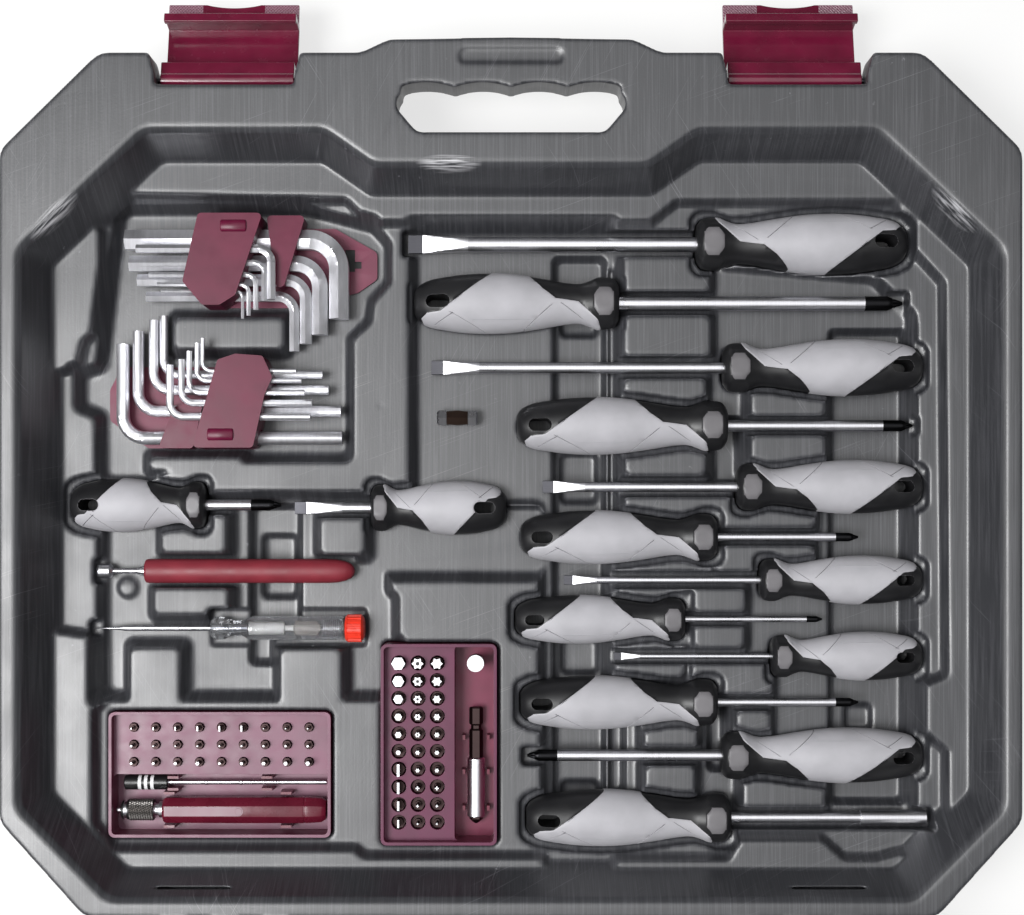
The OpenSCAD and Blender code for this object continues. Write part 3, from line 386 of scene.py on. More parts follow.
def applied(obj):
    """The object with its modifiers made part of its mesh."""
    graph = bpy.context.evaluated_depsgraph_get()
    mesh = bpy.data.meshes.new_from_object(obj.evaluated_get(graph))
    old = obj.data
    obj.modifiers.clear()
    obj.data = mesh
    bpy.data.meshes.remove(old)
    return obj


def flattened(obj):
    """Shades large flat faces truly flat, with the bend only in the rounded edges between them."""
    normals = obj.modifiers.new("normals", "WEIGHTED_NORMAL")
    normals.weight, normals.keep_sharp = 100, True
    return applied(obj)


def hollowed(obj, cutter, *materials):
    """Cuts the bmesh away from the object, and gives the cut its material slot."""
    tool = keep(obj.name + "_cutter", cutter, *materials)
    cut = obj.modifiers.new("cut", "BOOLEAN")
    cut.operation, cut.solver, cut.object = "DIFFERENCE", "EXACT", tool
    applied(obj)
    bpy.data.objects.remove(tool)
    return obj


def cad_mesh(*nodes):
    """A bmesh of CAD nodes with their loose triangles joined."""
    bm = bmesh.new()
    for node in nodes:
        bm.from_mesh(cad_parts[node].data)
    bmesh.ops.remove_doubles(bm, verts=bm.verts, dist=2e-6)
    return bm


def flat_faces(bm, degrees=0.6):
    bmesh.ops.dissolve_limit(bm, angle_limit=math.radians(degrees), verts=bm.verts, edges=bm.edges)


def sliced(bm, point, normal, faces=None):
    """Cuts the faces along a plane and returns the new edges."""
    faces = bm.faces[:] if faces is None else faces
    parts = set(faces).union(*(f.edges for f in faces), *(f.verts for f in faces))
    done = bmesh.ops.bisect_plane(bm, geom=list(parts), dist=1e-6, plane_co=point, plane_no=normal)
    return [e for e in done["geom_cut"] if isinstance(e, bmesh.types.BMEdge)]


def round_edges(bm, width, degrees=30, segments=2):
    """Bevels the edges that turn by more than the given angle."""
    limit = math.radians(degrees)
    sharp = [e for e in bm.edges if len(e.link_faces) == 2 and e.calc_face_angle(0) > limit]
    if sharp:
        bevelled(bm, sharp, width, segments)


def grown(made):
    """The corners and the face that an extrusion made."""
    return ([v for v in made["geom"] if isinstance(v, bmesh.types.BMVert)],
            next(f for f in made["geom"] if isinstance(f, bmesh.types.BMFace)))


def turned(points, sides, at=(0, 0, 0), unit=MM):
    """A closed body of revolution about X through (x, radius) points, in millimetres or another unit."""
    bm = bmesh.new()
    line = [bm.verts.new((x * unit, 0, r * unit)) for x, r in points]
    edges = [bm.edges.new(pair) for pair in zip(line, line[1:])]
    bmesh.ops.spin(bm, geom=line + edges, cent=(0, 0, 0), axis=(1, 0, 0), angle=math.tau, steps=sides,
                   use_merge=True)
    bmesh.ops.remove_doubles(bm, verts=bm.verts, dist=1e-6)
    return settled(bm, at)


def extruded(sides, stations, at=(0, 0, 0), turn=0.0):
    """A closed body along X: a polygon through (x, half-depth, half-height) stations in millimetres."""
    bm = bmesh.new()
    (x, wide, high), *rest = stations
    stand = Matrix.Rotation(math.pi / 2, 4, "Y") @ Matrix.Rotation(turn, 4, "Z")
    corners = bmesh.ops.create_circle(bm, cap_ends=True, segments=sides, radius=MM, matrix=stand)["verts"]
    face = corners[0].link_faces[0]
    bmesh.ops.scale(bm, vec=(1, wide, high), verts=corners)
    bmesh.ops.translate(bm, vec=(x * MM, 0, 0), verts=corners)
    for place, wider, higher in rest:
        corners, face = grown(bmesh.ops.extrude_face_region(bm, geom=[face, *face.edges]))
        bmesh.ops.translate(bm, vec=((place - x) * MM, 0, 0), verts=corners)
        bmesh.ops.scale(bm, vec=(1, wider / wide, higher / high), verts=corners)
        x, wide, high = place, wider, higher
    return settled(bm, at)


def coiled(at, radius, wire, pitch, turns, steps=16):
    """A closed spring along X: a circle of wire spun round the axis with a step along it."""
    bm = bmesh.new()
    stand = Matrix.Translation((0, 0, radius)) @ Matrix.Rotation(math.pi / 2, 4, "X")
    section = bmesh.ops.create_circle(bm, segments=6, radius=wire, matrix=stand)["verts"]
    bmesh.ops.spin(bm, geom=section + bm.edges[:], cent=(0, 0, 0), axis=(1, 0, 0), angle=turns * math.tau,
                   dvec=(pitch / steps, 0, 0), steps=turns * steps)
    bmesh.ops.holes_fill(bm, edges=[e for e in bm.edges if e.is_boundary], sides=6)
    return settled(bm, at)


def polygon(bm, sides, radius, waist=1.0):
    """A flat outline with a corner on X; a waist under 1 draws every second corner in, as on a star."""
    corners = bmesh.ops.create_circle(bm, cap_ends=True, segments=sides, radius=radius,
                                      matrix=Matrix.Rotation(-math.pi / 2, 4, "Z"))["verts"]
    bmesh.ops.scale(bm, vec=(waist, waist, 1), verts=corners[1::2])
    return corners[0].link_faces[0]


def oblong(bm, width, depth):
    corners = bmesh.ops.create_grid(bm, x_segments=1, y_segments=1, size=0.5)["verts"]
    bmesh.ops.scale(bm, vec=(width, depth, 1), verts=corners)
    return corners[0].link_faces[0]


def raised(bm, face, centre, z0, z1, side=0, top=0, taper=1.0):
    """Stands a flat outline at its centre and extrudes it upwards, with its own material on top."""
    bmesh.ops.translate(bm, vec=(*centre, z0), verts=face.verts)
    corners, lid = grown(bmesh.ops.extrude_face_region(bm, geom=[face]))
    bmesh.ops.translate(bm, vec=(0, 0, z1 - z0), verts=corners)
    bmesh.ops.scale(bm, vec=(taper, taper, 1), verts=corners,
                    space=Matrix.Translation((-centre[0], -centre[1], 0)))
    skin = {f for v in corners for f in v.link_faces} | {face}
    painted(skin, lambda f: top if f is lid else side)
    bmesh.ops.recalc_face_normals(bm, faces=list(skin))
    return bm


def smooth_curve(points, steps):
    """A Catmull-Rom curve through the points."""
    out = []
    for i in range(len(points) - 1):
        a, b, c, d = (Vector(points[min(max(k, 0), len(points) - 1)]) for k in (i - 1, i, i + 1, i + 2))
        for s in range(steps):
            t = s / steps
            out.append(0.5 * (2 * b + (c - a) * t + (2 * a - 5 * b + 4 * c - d) * t * t
                              + (3 * b - a - 3 * c + d) * t ** 3))
    return out + [Vector(points[-1])]


def finished(name, bm, body, slot_name, *materials, node=None, smooth=30):
    """A piece made here: it rides on a body, takes the given finishes and may stand for a CAD node. The slot
    name is not used.
    """
    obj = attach(keep(name, bm, *materials, smooth=smooth), body)
    if node:
        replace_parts(obj, node)
    return obj


def refined(node, body, slot_name, width, *materials, name=None, choose=None, cuts=()):
    """A CAD node as a piece of its own, with softened edges and its real finish."""
    bm = cad_mesh(node)
    flat_faces(bm)
    for point, normal in cuts:
        sliced(bm, point, normal)
    round_edges(bm, width)
    bm.normal_update()
    if choose:
        painted(bm.faces, choose)
    return flattened(finished(name or node + "_finish", bm, body, slot_name, *materials, node=node))


def middle(node):
    return [(low + high) / 2 for low, high in zip(*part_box(node))]


def lying(node):
    """Where a tool lies along X: the middle of its left end, its length and half-height in millimetres."""
    low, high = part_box(node)
    at = Vector((low.x, *middle(node)[1:]))
    return at, (high.x - low.x) / MM, (high.z - low.z) / 2 / MM


# ---------- case ----------
def mark_edges(mesh):
    """Stores how much the surface bulges at each point, for the pale edges, partly worn and partly a painted
    highlight: a third of a step is 1.
    """
    co, normal = np.zeros((2, len(mesh.vertices) * 3), np.float32)
    pairs = np.zeros(len(mesh.edges) * 2, np.int32)
    mesh.vertices.foreach_get("co", co)
    mesh.vertices.foreach_get("normal", normal)
    mesh.edges.foreach_get("vertices", pairs)
    co, normal, pairs = co.reshape(-1, 3), normal.reshape(-1, 3), pairs.reshape(-1, 2)
    step = co[pairs[:, 1]] - co[pairs[:, 0]]
    reach = np.linalg.norm(step, axis=1) + 1e-9
    bulge, total = np.zeros((2, len(co)))
    for side, sign in ((0, -1.0), (1, 1.0)):
        at = pairs[:, side]
        np.add.at(bulge, at, sign * (step * normal[at]).sum(1) / reach)
        np.add.at(total, at, 1)
    value = np.clip(bulge / np.maximum(total, 1) * 3, 0, 1)
    mesh.attributes.new("edge", "FLOAT", "POINT").data.foreach_set("value", value.astype(np.float32))


def moulding(name, body, c, s, *nodes):
    """Both skins of one half as a single blow-moulded piece with soft edges."""
    obj = keep(name, cad_mesh(*nodes))
    remesh = obj.modifiers.new("grid", "REMESH")
    remesh.mode, remesh.voxel_size = "VOXEL", s.voxel * 1
    soft = obj.modifiers.new("soft", "SMOOTH")
    soft.factor, soft.iterations = 0.5, s.soften
    applied(obj)
    triangles = 2 * len(obj.data.polygons)
    if triangles > s.faces:
        obj.modifiers.new("thin", "DECIMATE").ratio = s.faces / triangles
        applied(obj)
    obj.data.shade_smooth()
    obj.data.materials.append(bpy.data.materials.get("moulded_polyethylene") or moulded_polyethylene(c, s))
    mark_edges(obj.data)
    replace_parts(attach(obj, body), *nodes)


class CASE_OT_base(Maker, bpy.types.Operator):
    """Base half: the outer skin and the formed tray as one moulding"""
    bl_idname = "toolcase.base"
    bl_label = "Base moulding"

    def make(self, c, s):
        moulding("base_moulding", "base", c, s, "base_shell", "base_tray")


class CASE_OT_lid(Maker, bpy.types.Operator):
    """Lid half: the outer skin and the formed panel as one moulding"""
    bl_idname = "toolcase.lid"
    bl_label = "Lid moulding"

    def make(self, c, s):
        moulding("lid_moulding", "lid", c, s, "lid_shell", "lid_panel")


class CASE_OT_latches(Maker, bpy.types.Operator):
    """The two snap latches, with hatched thumb pads"""
    bl_idname = "toolcase.latches"
    bl_label = "Latches"

    def make(self, c, s):
        plain = moulded_abs("moulded_abs_gloss", c, False)
        hatched = moulded_abs("moulded_abs_hatched", c, True)
        for side in ("left", "right"):
            node = "latch_" + side
            centre, pads = middle(node)[0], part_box(node)[1].y - PAD_DEEP * MM
            bm = cad_mesh(node)
            flat_faces(bm, 1)
            for reach in (-PAD_FROM, PAD_FROM):
                sliced(bm, (centre + reach * MM, 0, 0), (1, 0, 0))
            round_edges(bm, s.latch_edge, 35, 3)
            bm.normal_update()
            # The thumb pads take the hatched finish, whose pale ridges are a painted highlight.
            for face in bm.faces:
                at = face.calc_center_median()
                if at.y > pads and abs(at.x - centre) > (PAD_FROM - 1) * MM and face.normal.z > 0.5:
                    face.material_index = 1
            flattened(finished(node + "_shell", bm, node + "_body", "latch_plastic", plain, hatched,
                               node=node, smooth=35))


class CASE_OT_pins(Maker, bpy.types.Operator):
    """Steel pins of the latches and hinges"""
    bl_idname = "toolcase.pins"
    bl_label = "Pins"

    def make(self, c, s):
        # Cold-drawn mild steel, turned to size: grey, with fine lines round the pin.
        steel = drawn("drawn_steel_pin", c.ground, 0.3)
        for node in ("latch_pin_left", "latch_pin_right", "hinge_pin_left", "hinge_pin_right"):
            refined(node, "base", "pin_steel", s.metal_edge, steel)


# ---------- screwdrivers ----------
def inside(point, outline):
    x, y = point
    hit = False
    for (ax, ay), (bx, by) in zip(outline, outline[1:] + outline[:1]):
        if (ay > y) != (by > y) and x < (bx - ax) * (y - ay) / (by - ay) + ax:
            hit = not hit
    return hit


def cut_line(bm, start, end, slot, spare=2 * MM):
    """Cuts a slot's faces with an upright plane from start to end, and returns the new edges."""
    (ax, ay), (bx, by) = start, end
    near = [f for f in bm.faces if f.material_index == slot
            and min(ax, bx) - spare < f.calc_center_median().x < max(ax, bx) + spare
            and min(ay, by) - spare < f.calc_center_median().y < max(ay, by) + spare]
    return sliced(bm, (ax, ay, 0), (by - ay, ax - bx, 0), near) if near else []


def cut_zone(bm, outline, slot, thickness, depth):
    """Cuts an outline through the core, gives what lies in it a material slot and raises it."""
    for start, end in zip(outline, outline[1:] + outline[:1]):
        cut_line(bm, start, end, 0)
    bm.normal_update()
    zone = [f for f in bm.faces if f.material_index == 0 and inside(f.calc_center_median()[:2], outline)
            and (slot == 1 or abs(f.normal.z) > 0.8)]
    painted(zone, lambda f: slot)
    bmesh.ops.inset_region(bm, faces=zone, thickness=thickness, depth=depth, use_even_offset=True)


def hexagonal(bm, reach, corner):
    """Draws the bolster in to six flats, one of them facing up."""
    for v in bm.verts:
        radius = math.hypot(v.co.y, v.co.z)
        if v.co.x < reach and radius > 0:
            angle = math.atan2(v.co.z, v.co.y) % (math.pi / 3) - math.pi / 6
            flat = corner * math.cos(math.pi / 6) / math.cos(angle)
            if radius > flat:
                v.co.y *= flat / radius
                v.co.z *= flat / radius


def body_of(name):
    return name if name == "nut_driver" else name + "_driver"


def points_left(name):
    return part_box(name + "_blade")[0].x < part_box(name + "_handle")[0].x


def stood(node, left):
    """Where a form drawn along X stands: on the node's axis, from its left end or turned, from its right."""
    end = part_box(node)[0 if left else 1].x
    return Matrix.Translation((end, *middle(node)[1:])) @ Matrix.Rotation(0 if left else math.pi, 4, "Z")


def handle(name, s, *materials):
    """One handle: turned core with a hexagonal bolster, hang hole, raised grip zone and creases."""
    node = name + "_handle"
    low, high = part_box(node)
    long, half = high.x - low.x, (high.z - low.z) / 2

    def placed(outline):
        return [(t * long, w * half) for t, w in outline]

    form = placed(smooth_curve(HANDLE_FORM, 4))
    bm = turned([(0, 0)] + form + [(long, 0)], s.handle_sides, unit=1)
    hexagonal(bm, BOLSTER_REACH * long, BOLSTER_CORNER * half)
    obj = keep(name + "_grip", bm, *materials)
    # The hang hole is a long hole: the far half of a round bar is drawn away along the handle.
    bar = bmesh.new()
    face = polygon(bar, 24, half * HANG_RADIUS)
    bmesh.ops.translate(bar, vec=(half * HANG_LONG, 0, 0), verts=[v for v in face.verts if v.co.x > 1e-6])
    raised(bar, face, (long - half * HANG_PLACE, 0), -half * 1.2, half * 1.2, 3, 3)
    hollowed(obj, bar, *materials)
    bm = bmesh.new()
    bm.from_mesh(obj.data)
    rims = [e for e in bm.edges if len({f.material_index for f in e.link_faces}) == 2]
    bevelled(bm, rims, HANG_RIM, material=4)
    cut_zone(bm, placed(GRIP_ZONE), 1, GRIP_SLOPE, s.grip_step)
    # Painted reflection: the bolster's upward and downward flats are painted grey inside the outline, and
    # stand up a little.
    cut_zone(bm, placed(BOLSTER_REFLECTION), 2, MARK_SLOPE, MARK_STEP)
    for crease in CREASES:
        strip = bevelled(bm, cut_line(bm, *placed(crease), 1, 0.6 * MM), s.crease / 2)
        if strip:
            bmesh.ops.inset_region(bm, faces=strip, thickness=CREASE_SLOPE, depth=-CREASE_DEPTH)
    bm.to_mesh(obj.data)
    bm.free()
    obj.data.shade_smooth()
    obj.data.set_sharp_from_angle(angle=math.radians(40))
    obj.data.transform(stood(node, points_left(name)))
    return obj


class CASE_OT_handles(Maker, bpy.types.Operator):
    """Two-tone handles of the screwdrivers"""
    bl_idname = "toolcase.handles"
    bl_label = "Screwdriver handles"

    def make(self, c, s):
        finishes = (
            # Thermoplastic elastomer over a hard core: black with a soft, broad shine.
            moulded("moulded_black_elastomer", c.rubber, 0.4, grain=0.5, depth=0.03),
            # The same elastomer in grey, spark-eroded in the mould: dull and dry to the eye.
            moulded("moulded_grey_elastomer", c.grip, 0.55, 0.07, 0.35, Sheen_Weight=0.05),
            # Painted reflection: grey paint on the bolster's upward and downward flats, for the light the
            # upward flat reflects.
            moulded("bolster_flat_painted_reflection", c.flat_reflection, 0.4),
            # Bore of the hang hole: the black core, unlit and matt.
            moulded("moulded_black_bore", c.rubber, 0.5),
            # Parting line round the hang hole, painted pale.
            moulded("moulded_pale_rim", c.rim, 0.45))
        for name in DRIVERS:
            obj = handle(name, s, *finishes)
            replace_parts(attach(obj, body_of(name)), name + "_handle")


def wedge_blade(long, wide, r):
    """A flat blade: a bar drawn out wide at its end and pressed between two faces that lean to its tip."""
    # Millimetres from the end to where the bare ground zone and the drawn-out part stop.
    tip, flare = 1.4 * r + 2, 7 * r + 4
    swell = [(tip + (flare - tip) * t, r + (wide - r) * (1 - t) ** 2, r + (wide - r) * (1 - t))
             for t in (0.1, 0.2, 0.35, 0.5, 0.65, 0.8, 1)]
    bm = extruded(32, [(0, 0.97 * wide, wide), (0.2, wide, wide), (tip, wide, wide), *swell,
                       (long - 0.3, r, r), (long, r - 0.3, r - 0.3)])
    for v in bm.verts:
        flat = (0.3 + 0.08 * r) * MM + v.co.x * (0.9 * r - 0.3) / flare
        v.co.z = max(-flat, min(flat, v.co.z))
    # The shank is plated, the pressed faces are bright, and the tip is ground bare.
    painted(bm.faces, lambda f: sum(f.calc_center_median().x < end * MM for end in (flare, tip)))
    return bm


def flutes(place, r):
    """The four flutes of a cross tip whose point is at X = 0: bars that lean out of the metal behind it."""
    bm = bmesh.new()
    for i in range(4):
        turn = Matrix.Rotation((i + 0.5) * math.tau / 4, 4, "X")
        root = Matrix.Translation((0, 0, FLUTE_OUT * r))
        lean = Matrix.Rotation(math.radians(FLUTE_LEAN), 4, "Y")
        shift = Matrix.Translation((0, 0, FLUTE_SHIFT * r))
        bmesh.ops.create_cone(bm, cap_ends=True, segments=12, radius1=FLUTE_RADIUS * r,
                              radius2=FLUTE_RADIUS * r, depth=FLUTE_LONG * r,
                              matrix=place @ turn @ root @ lean @ shift)
    painted(bm.faces, lambda f: 3)
    return bm


class CASE_OT_blades(Maker, bpy.types.Operator):
    """Satin chrome blades with ground or blackened tips"""
    bl_idname = "toolcase.blades"
    bl_label = "Screwdriver blades"

    def make(self, c, s):
        finishes = (
            # Chrome-vanadium steel under satin chrome: a long soft highlight.
            drawn("satin_chrome_plate", c.chrome, 0.3),
            # Forged wedge, plated over a polished face: almost white where it meets the light.
            drawn("bright_chrome_plate", c.bright, 0.42),
            # Bare ground end of a flat blade: grey, with the wheel's lines along the blade.
            drawn("ground_bare_steel", c.ground, 0.45, "y"),
            # Cross-point tips dipped in black oxide: dark, with a faint metal gleam.
            drawn("black_oxide_steel", c.blackened, 0.34))
        for name in DRIVERS:
            node, left = name + "_blade", points_left(name)
            low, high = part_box(node)
            half = (high.z - low.z) / 2
            place = stood(node, left)
            if "slotted" in name:
                bm = wedge_blade((high.x - low.x) / MM, (high.y - low.y) / 2 / MM, half / MM)
                bmesh.ops.transform(bm, matrix=place, verts=bm.verts)
                flattened(finished(name + "_shank", bm, body_of(name), "blade_steel", *finishes, node=node))
                continue
            # A cross tip is blackened up to here; the nut driver is plated all over.
            dipped = low.x + BLACKENED * half if left else high.x - BLACKENED * half
            cross = name != "nut_driver"
            obj = refined(node, body_of(name), "blade_steel", s.metal_edge, *finishes, name=name + "_shank",
                          cuts=[((dipped, 0, 0), (1, 0, 0))] if cross else [],
                          choose=lambda f: 3 * (cross and (f.calc_center_median().x < dipped) == left))
            if cross:
                flattened(hollowed(obj, flutes(place, half), *finishes))


# ---------- small tools ----------
class CASE_OT_small_tools(Maker, bpy.types.Operator):
    """Magnetic pick-up, voltage tester and bit coupler"""
    bl_idname = "toolcase.small_tools"
    bl_label = "Pick-up, tester and coupler"

    def make(self, c, s):
        # Turned and nickel-plated steel: fine rings and a hard bright line.
        self.steel = drawn("turned_nickel_steel", c.chrome, 0.28)
        self.pick_up(c, s)
        self.tester(c, s)
        self.coupler(c)

    def coupler(self, c):
        at, long, r = lying("bit_coupler")
        end = [(0, 0.8), (0.8, 0), (4.9, 0), (5.1, 0.6)]
        form = end + [(long / 2, 0)] + [(long - x, less) for x, less in reversed(end)]
        bm = extruded(6, [(x, r - less, r - less) for x, less in form], at, math.pi / 6)
        centre = at.x + long / 2 * MM
        painted(bm.faces, lambda f: int(abs(f.calc_center_median().x - centre) < (long / 2 - 5) * MM))
        # Coupler: hexagonal ends left bright, the middle browned by the heat.
        finished("bit_coupler_hexagonal", bm, "coupler", "bit_steel", self.steel,
                 drawn("heat_browned_steel", c.bronze, 0.35), node="bit_coupler", smooth=20)

    def pick_up(self, c, s):
        at, long, _ = lying("pickup_sleeve")
        r = s.sleeve / MM
        form = [(0, r - 0.9), (0.4, r - 0.3), (1.5, r), (long - 14, r), (long - 9, r - 0.3),
                (long - 5, r - 1.1), (long - 2, r - 2.4), (long - 0.5, r - 4), (long, r - 5.6)]
        # Dipped vinyl sleeve: dull dark red with a rounded end.
        finished("pickup_dipped_sleeve", turned([(0, 0)] + form + [(long, 0)], 48, at), "magnetic_pickup",
                 "sleeve_plastic", moulded("dipped_vinyl", c.sleeve, 0.5), node="pickup_sleeve", smooth=50)
        for node in ("pickup_rod", "pickup_magnet"):
            refined(node, "magnetic_pickup", "blade_steel", s.metal_edge, self.steel)
        rings = [(-4.6, 0), (-4.6, 1.5), (-4.2, 1.8), (-2.8, 1.8), (-2.8, 2.3), (-1.2, 2.3), (-1.2, 2.8),
                 (0.2, 2.8), (0.2, 0)]
        finished("pickup_collar", turned(rings, 32, at), "magnetic_pickup", "blade_steel", self.steel)

    def tester(self, c, s):
        body = "voltage_tester"
        # Clear cellulose acetate, polished by its mould: it shows the bright parts inside it.
        acetate = clear("moulded_clear_acetate", linear("#eceef4"), 0.95, 0.05)
        refined("tester_body", body, "clear_plastic", s.metal_edge, acetate)
        # The wedge stands on edge, so that it looks like a needle from above.
        at, long, r = lying("tester_blade")
        blade = extruded(24, [(0, 0.15, 1.7), (7, 0.5, 1.75), (14, 1.1, r), (16, r, r), (long, r, r)], at)
        finished("tester_wedge_blade", blade, body, "blade_steel", self.steel, node="tester_blade")
        # Inside the body, in millimetres from its right end.
        at = Vector((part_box("tester_body")[1].x, *middle("tester_body")[1:]))
        # Neon lamp: clear glass that warms the light through it.
        lamp = [(-26, 0), (-26, 1.6), (-25, 2.6), (-14, 2.6), (-12, 1.2), (-12, 0)]
        finished("tester_lamp", turned(lamp, 24, at), body, "clear_plastic",
                 clear("blown_lamp_glass", linear("#faf1ea"), 0.7, 0.03))
        # Resistor: glazed ceramic rod, pale and glossy.
        rod = [(-49, 0), (-49, 2.3), (-31, 2.3), (-30.4, 1), (-26, 1), (-26, 0)]
        finished("tester_resistor", turned(rod, 24, at), body, "blade_steel",
                 moulded("glazed_ceramic", linear("#e9e8e6"), 0.3))
        spring = coiled(at + Vector((-11 * MM, 0, 0)), 2.6 * MM, 0.28 * MM, 9.5 / 9 * MM, 9)
        finished("tester_spring", spring, body, "blade_steel", self.steel, smooth=60)
        at, long, r = lying("tester_cap")
        cap = turned([(0, 0), (0, 0.86 * r), (0.12 * long, r), (0.84 * long, r), (0.95 * long, 0.8 * r),
                      (long, 0.6 * r), (long, 0)], 36, at)
        sides = [f for f in cap.faces if abs(f.normal.x) < 0.1]
        sides.sort(key=lambda f: math.atan2(f.calc_center_median().z - at.z, f.calc_center_median().y - at.y))
        bmesh.ops.inset_individual(cap, faces=sides[::2], thickness=0.3 * MM, depth=-0.5 * MM,
                                   use_even_offset=True)
        # Red ABS cap with moulded flutes: saturated and glossy.
        finished("tester_fluted_cap", cap, body, "cap_plastic", moulded("moulded_red_abs", c.cap, 0.3),
                 node="tester_cap", smooth=25)


class CASE_OT_keys(Maker, bpy.types.Operator):
    """Hexagon and star keys in their clips"""
    bl_idname = "toolcase.keys"
    bl_label = "Keys and clips"

    def make(self, c, s):
        # Chrome-plated bent bar: brighter than the blades, with faint drawing lines 2 mm apart.
        chrome = drawn("polished_chrome_bar", shade(c.chrome, 1.1), 0.42, grain=2.0)
        # Glass-filled nylon: dull wine red, darker on the ribs than on the flat plate.
        clip = moulded("moulded_glass_nylon", c.clip, 0.34, Specular_IOR_Level=0.35)
        plate = moulded("moulded_glass_nylon_flat", c.plate, 0.45, Specular_IOR_Level=0.35)
        # Depth of the opening in the plate: painted shade, the same nylon painted nearly black.
        depth = moulded("moulded_glass_nylon_painted_shade", shade(c.rubber, 0.7), 0.6)
        # The barrel's place is given as shares of its clip's box.
        for kind, x, y in (("hex", 0.265, 0.86), ("torx", 0.70, 0.14)):
            node, body = kind + "_key_clip", kind + "_key_set"
            refined(kind + "_keys", body, "key_steel", 2 * s.metal_edge, chrome)
            low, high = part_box(node)
            top = low.z + 1.9 * MM
            obj = refined(node, body, "clip_plastic", s.plastic_edge, clip, plate, depth,
                          choose=lambda f: int(f.calc_center_median().z < top))
            if kind == "hex":
                # Cross-shaped blind opening in the plate, beside the longest key: two bars in millimetres.
                for wide, deep, place in ((5, 11.4, (-84.2, 117.7)), (6.6, 3.6, (-81.6, 115.4))):
                    cutter = bmesh.new()
                    # Its walls and bottom take slot 2, the nearly black painted shade.
                    raised(cutter, oblong(cutter, wide * MM, deep * MM), (place[0] * MM, place[1] * MM),
                           low.z + 0.5 * MM, top + 0.3 * MM, 2, 2)
                    hollowed(obj, cutter, clip, plate, depth)
                flattened(obj)
            barrel = turned([(-6.5, 0), (-6.5, 2.6), (-6, 3.1), (6, 3.1), (6.5, 2.6), (6.5, 0)], 24)
            bmesh.ops.bisect_plane(barrel, geom=barrel.verts[:] + barrel.edges[:] + barrel.faces[:],
                                   dist=1e-6, plane_co=(0, 0, -0.4 * MM), plane_no=(0, 0, 1),
                                   clear_inner=True)
            bmesh.ops.holes_fill(barrel, edges=[e for e in barrel.edges if e.is_boundary], sides=60)
            bmesh.ops.scale(barrel, vec=(1, 1, 0.5), verts=barrel.verts)
            place = (low.x + x * (high.x - low.x), low.y + y * (high.y - low.y), high.z - 0.1 * MM)
            finished(kind + "_clip_barrel", settled(barrel, place), body, "clip_plastic", clip)


def bit(bm, centre, low, high, half, shape, size):
    """One bit standing in its hole: hexagonal shank, turned neck and formed tip with a bright face.

    Heights are counted down from the tip in half-widths of the shank.
    """
    neck, root, reach = high - 1.6 * half, high - 2.2 * half, size * MM / 2
    wide = min(half * 0.92, max(reach * 1.1, half * 0.5))
    raised(bm, polygon(bm, 6, half), centre, low, root)
    raised(bm, polygon(bm, 16, wide), centre, root, neck, taper=0.9)
    if shape == "slot":
        raised(bm, oblong(bm, 0.16 * size * MM + 0.3 * MM, size * MM), centre, neck, high, 0, 1, 0.94)
    elif shape == "cross":
        raised(bm, oblong(bm, 0.28 * size * MM, size * MM), centre, neck, high, 0, 1, 0.6)
        raised(bm, oblong(bm, size * MM, 0.28 * size * MM), centre, neck, high - 0.02 * MM, 0, 1, 0.6)
    else:
        face = polygon(bm, 6, reach) if shape == "hex" else polygon(bm, 12, reach, 0.68)
        raised(bm, face, centre, neck, high, 0, 1, 0.97)
        if shape == "ring":
            # A thin disc of the black painted shade stands for the bore.
            raised(bm, polygon(bm, 12, reach * 0.32), centre, high - 0.1 * MM, high + 0.05 * MM, 2, 2)


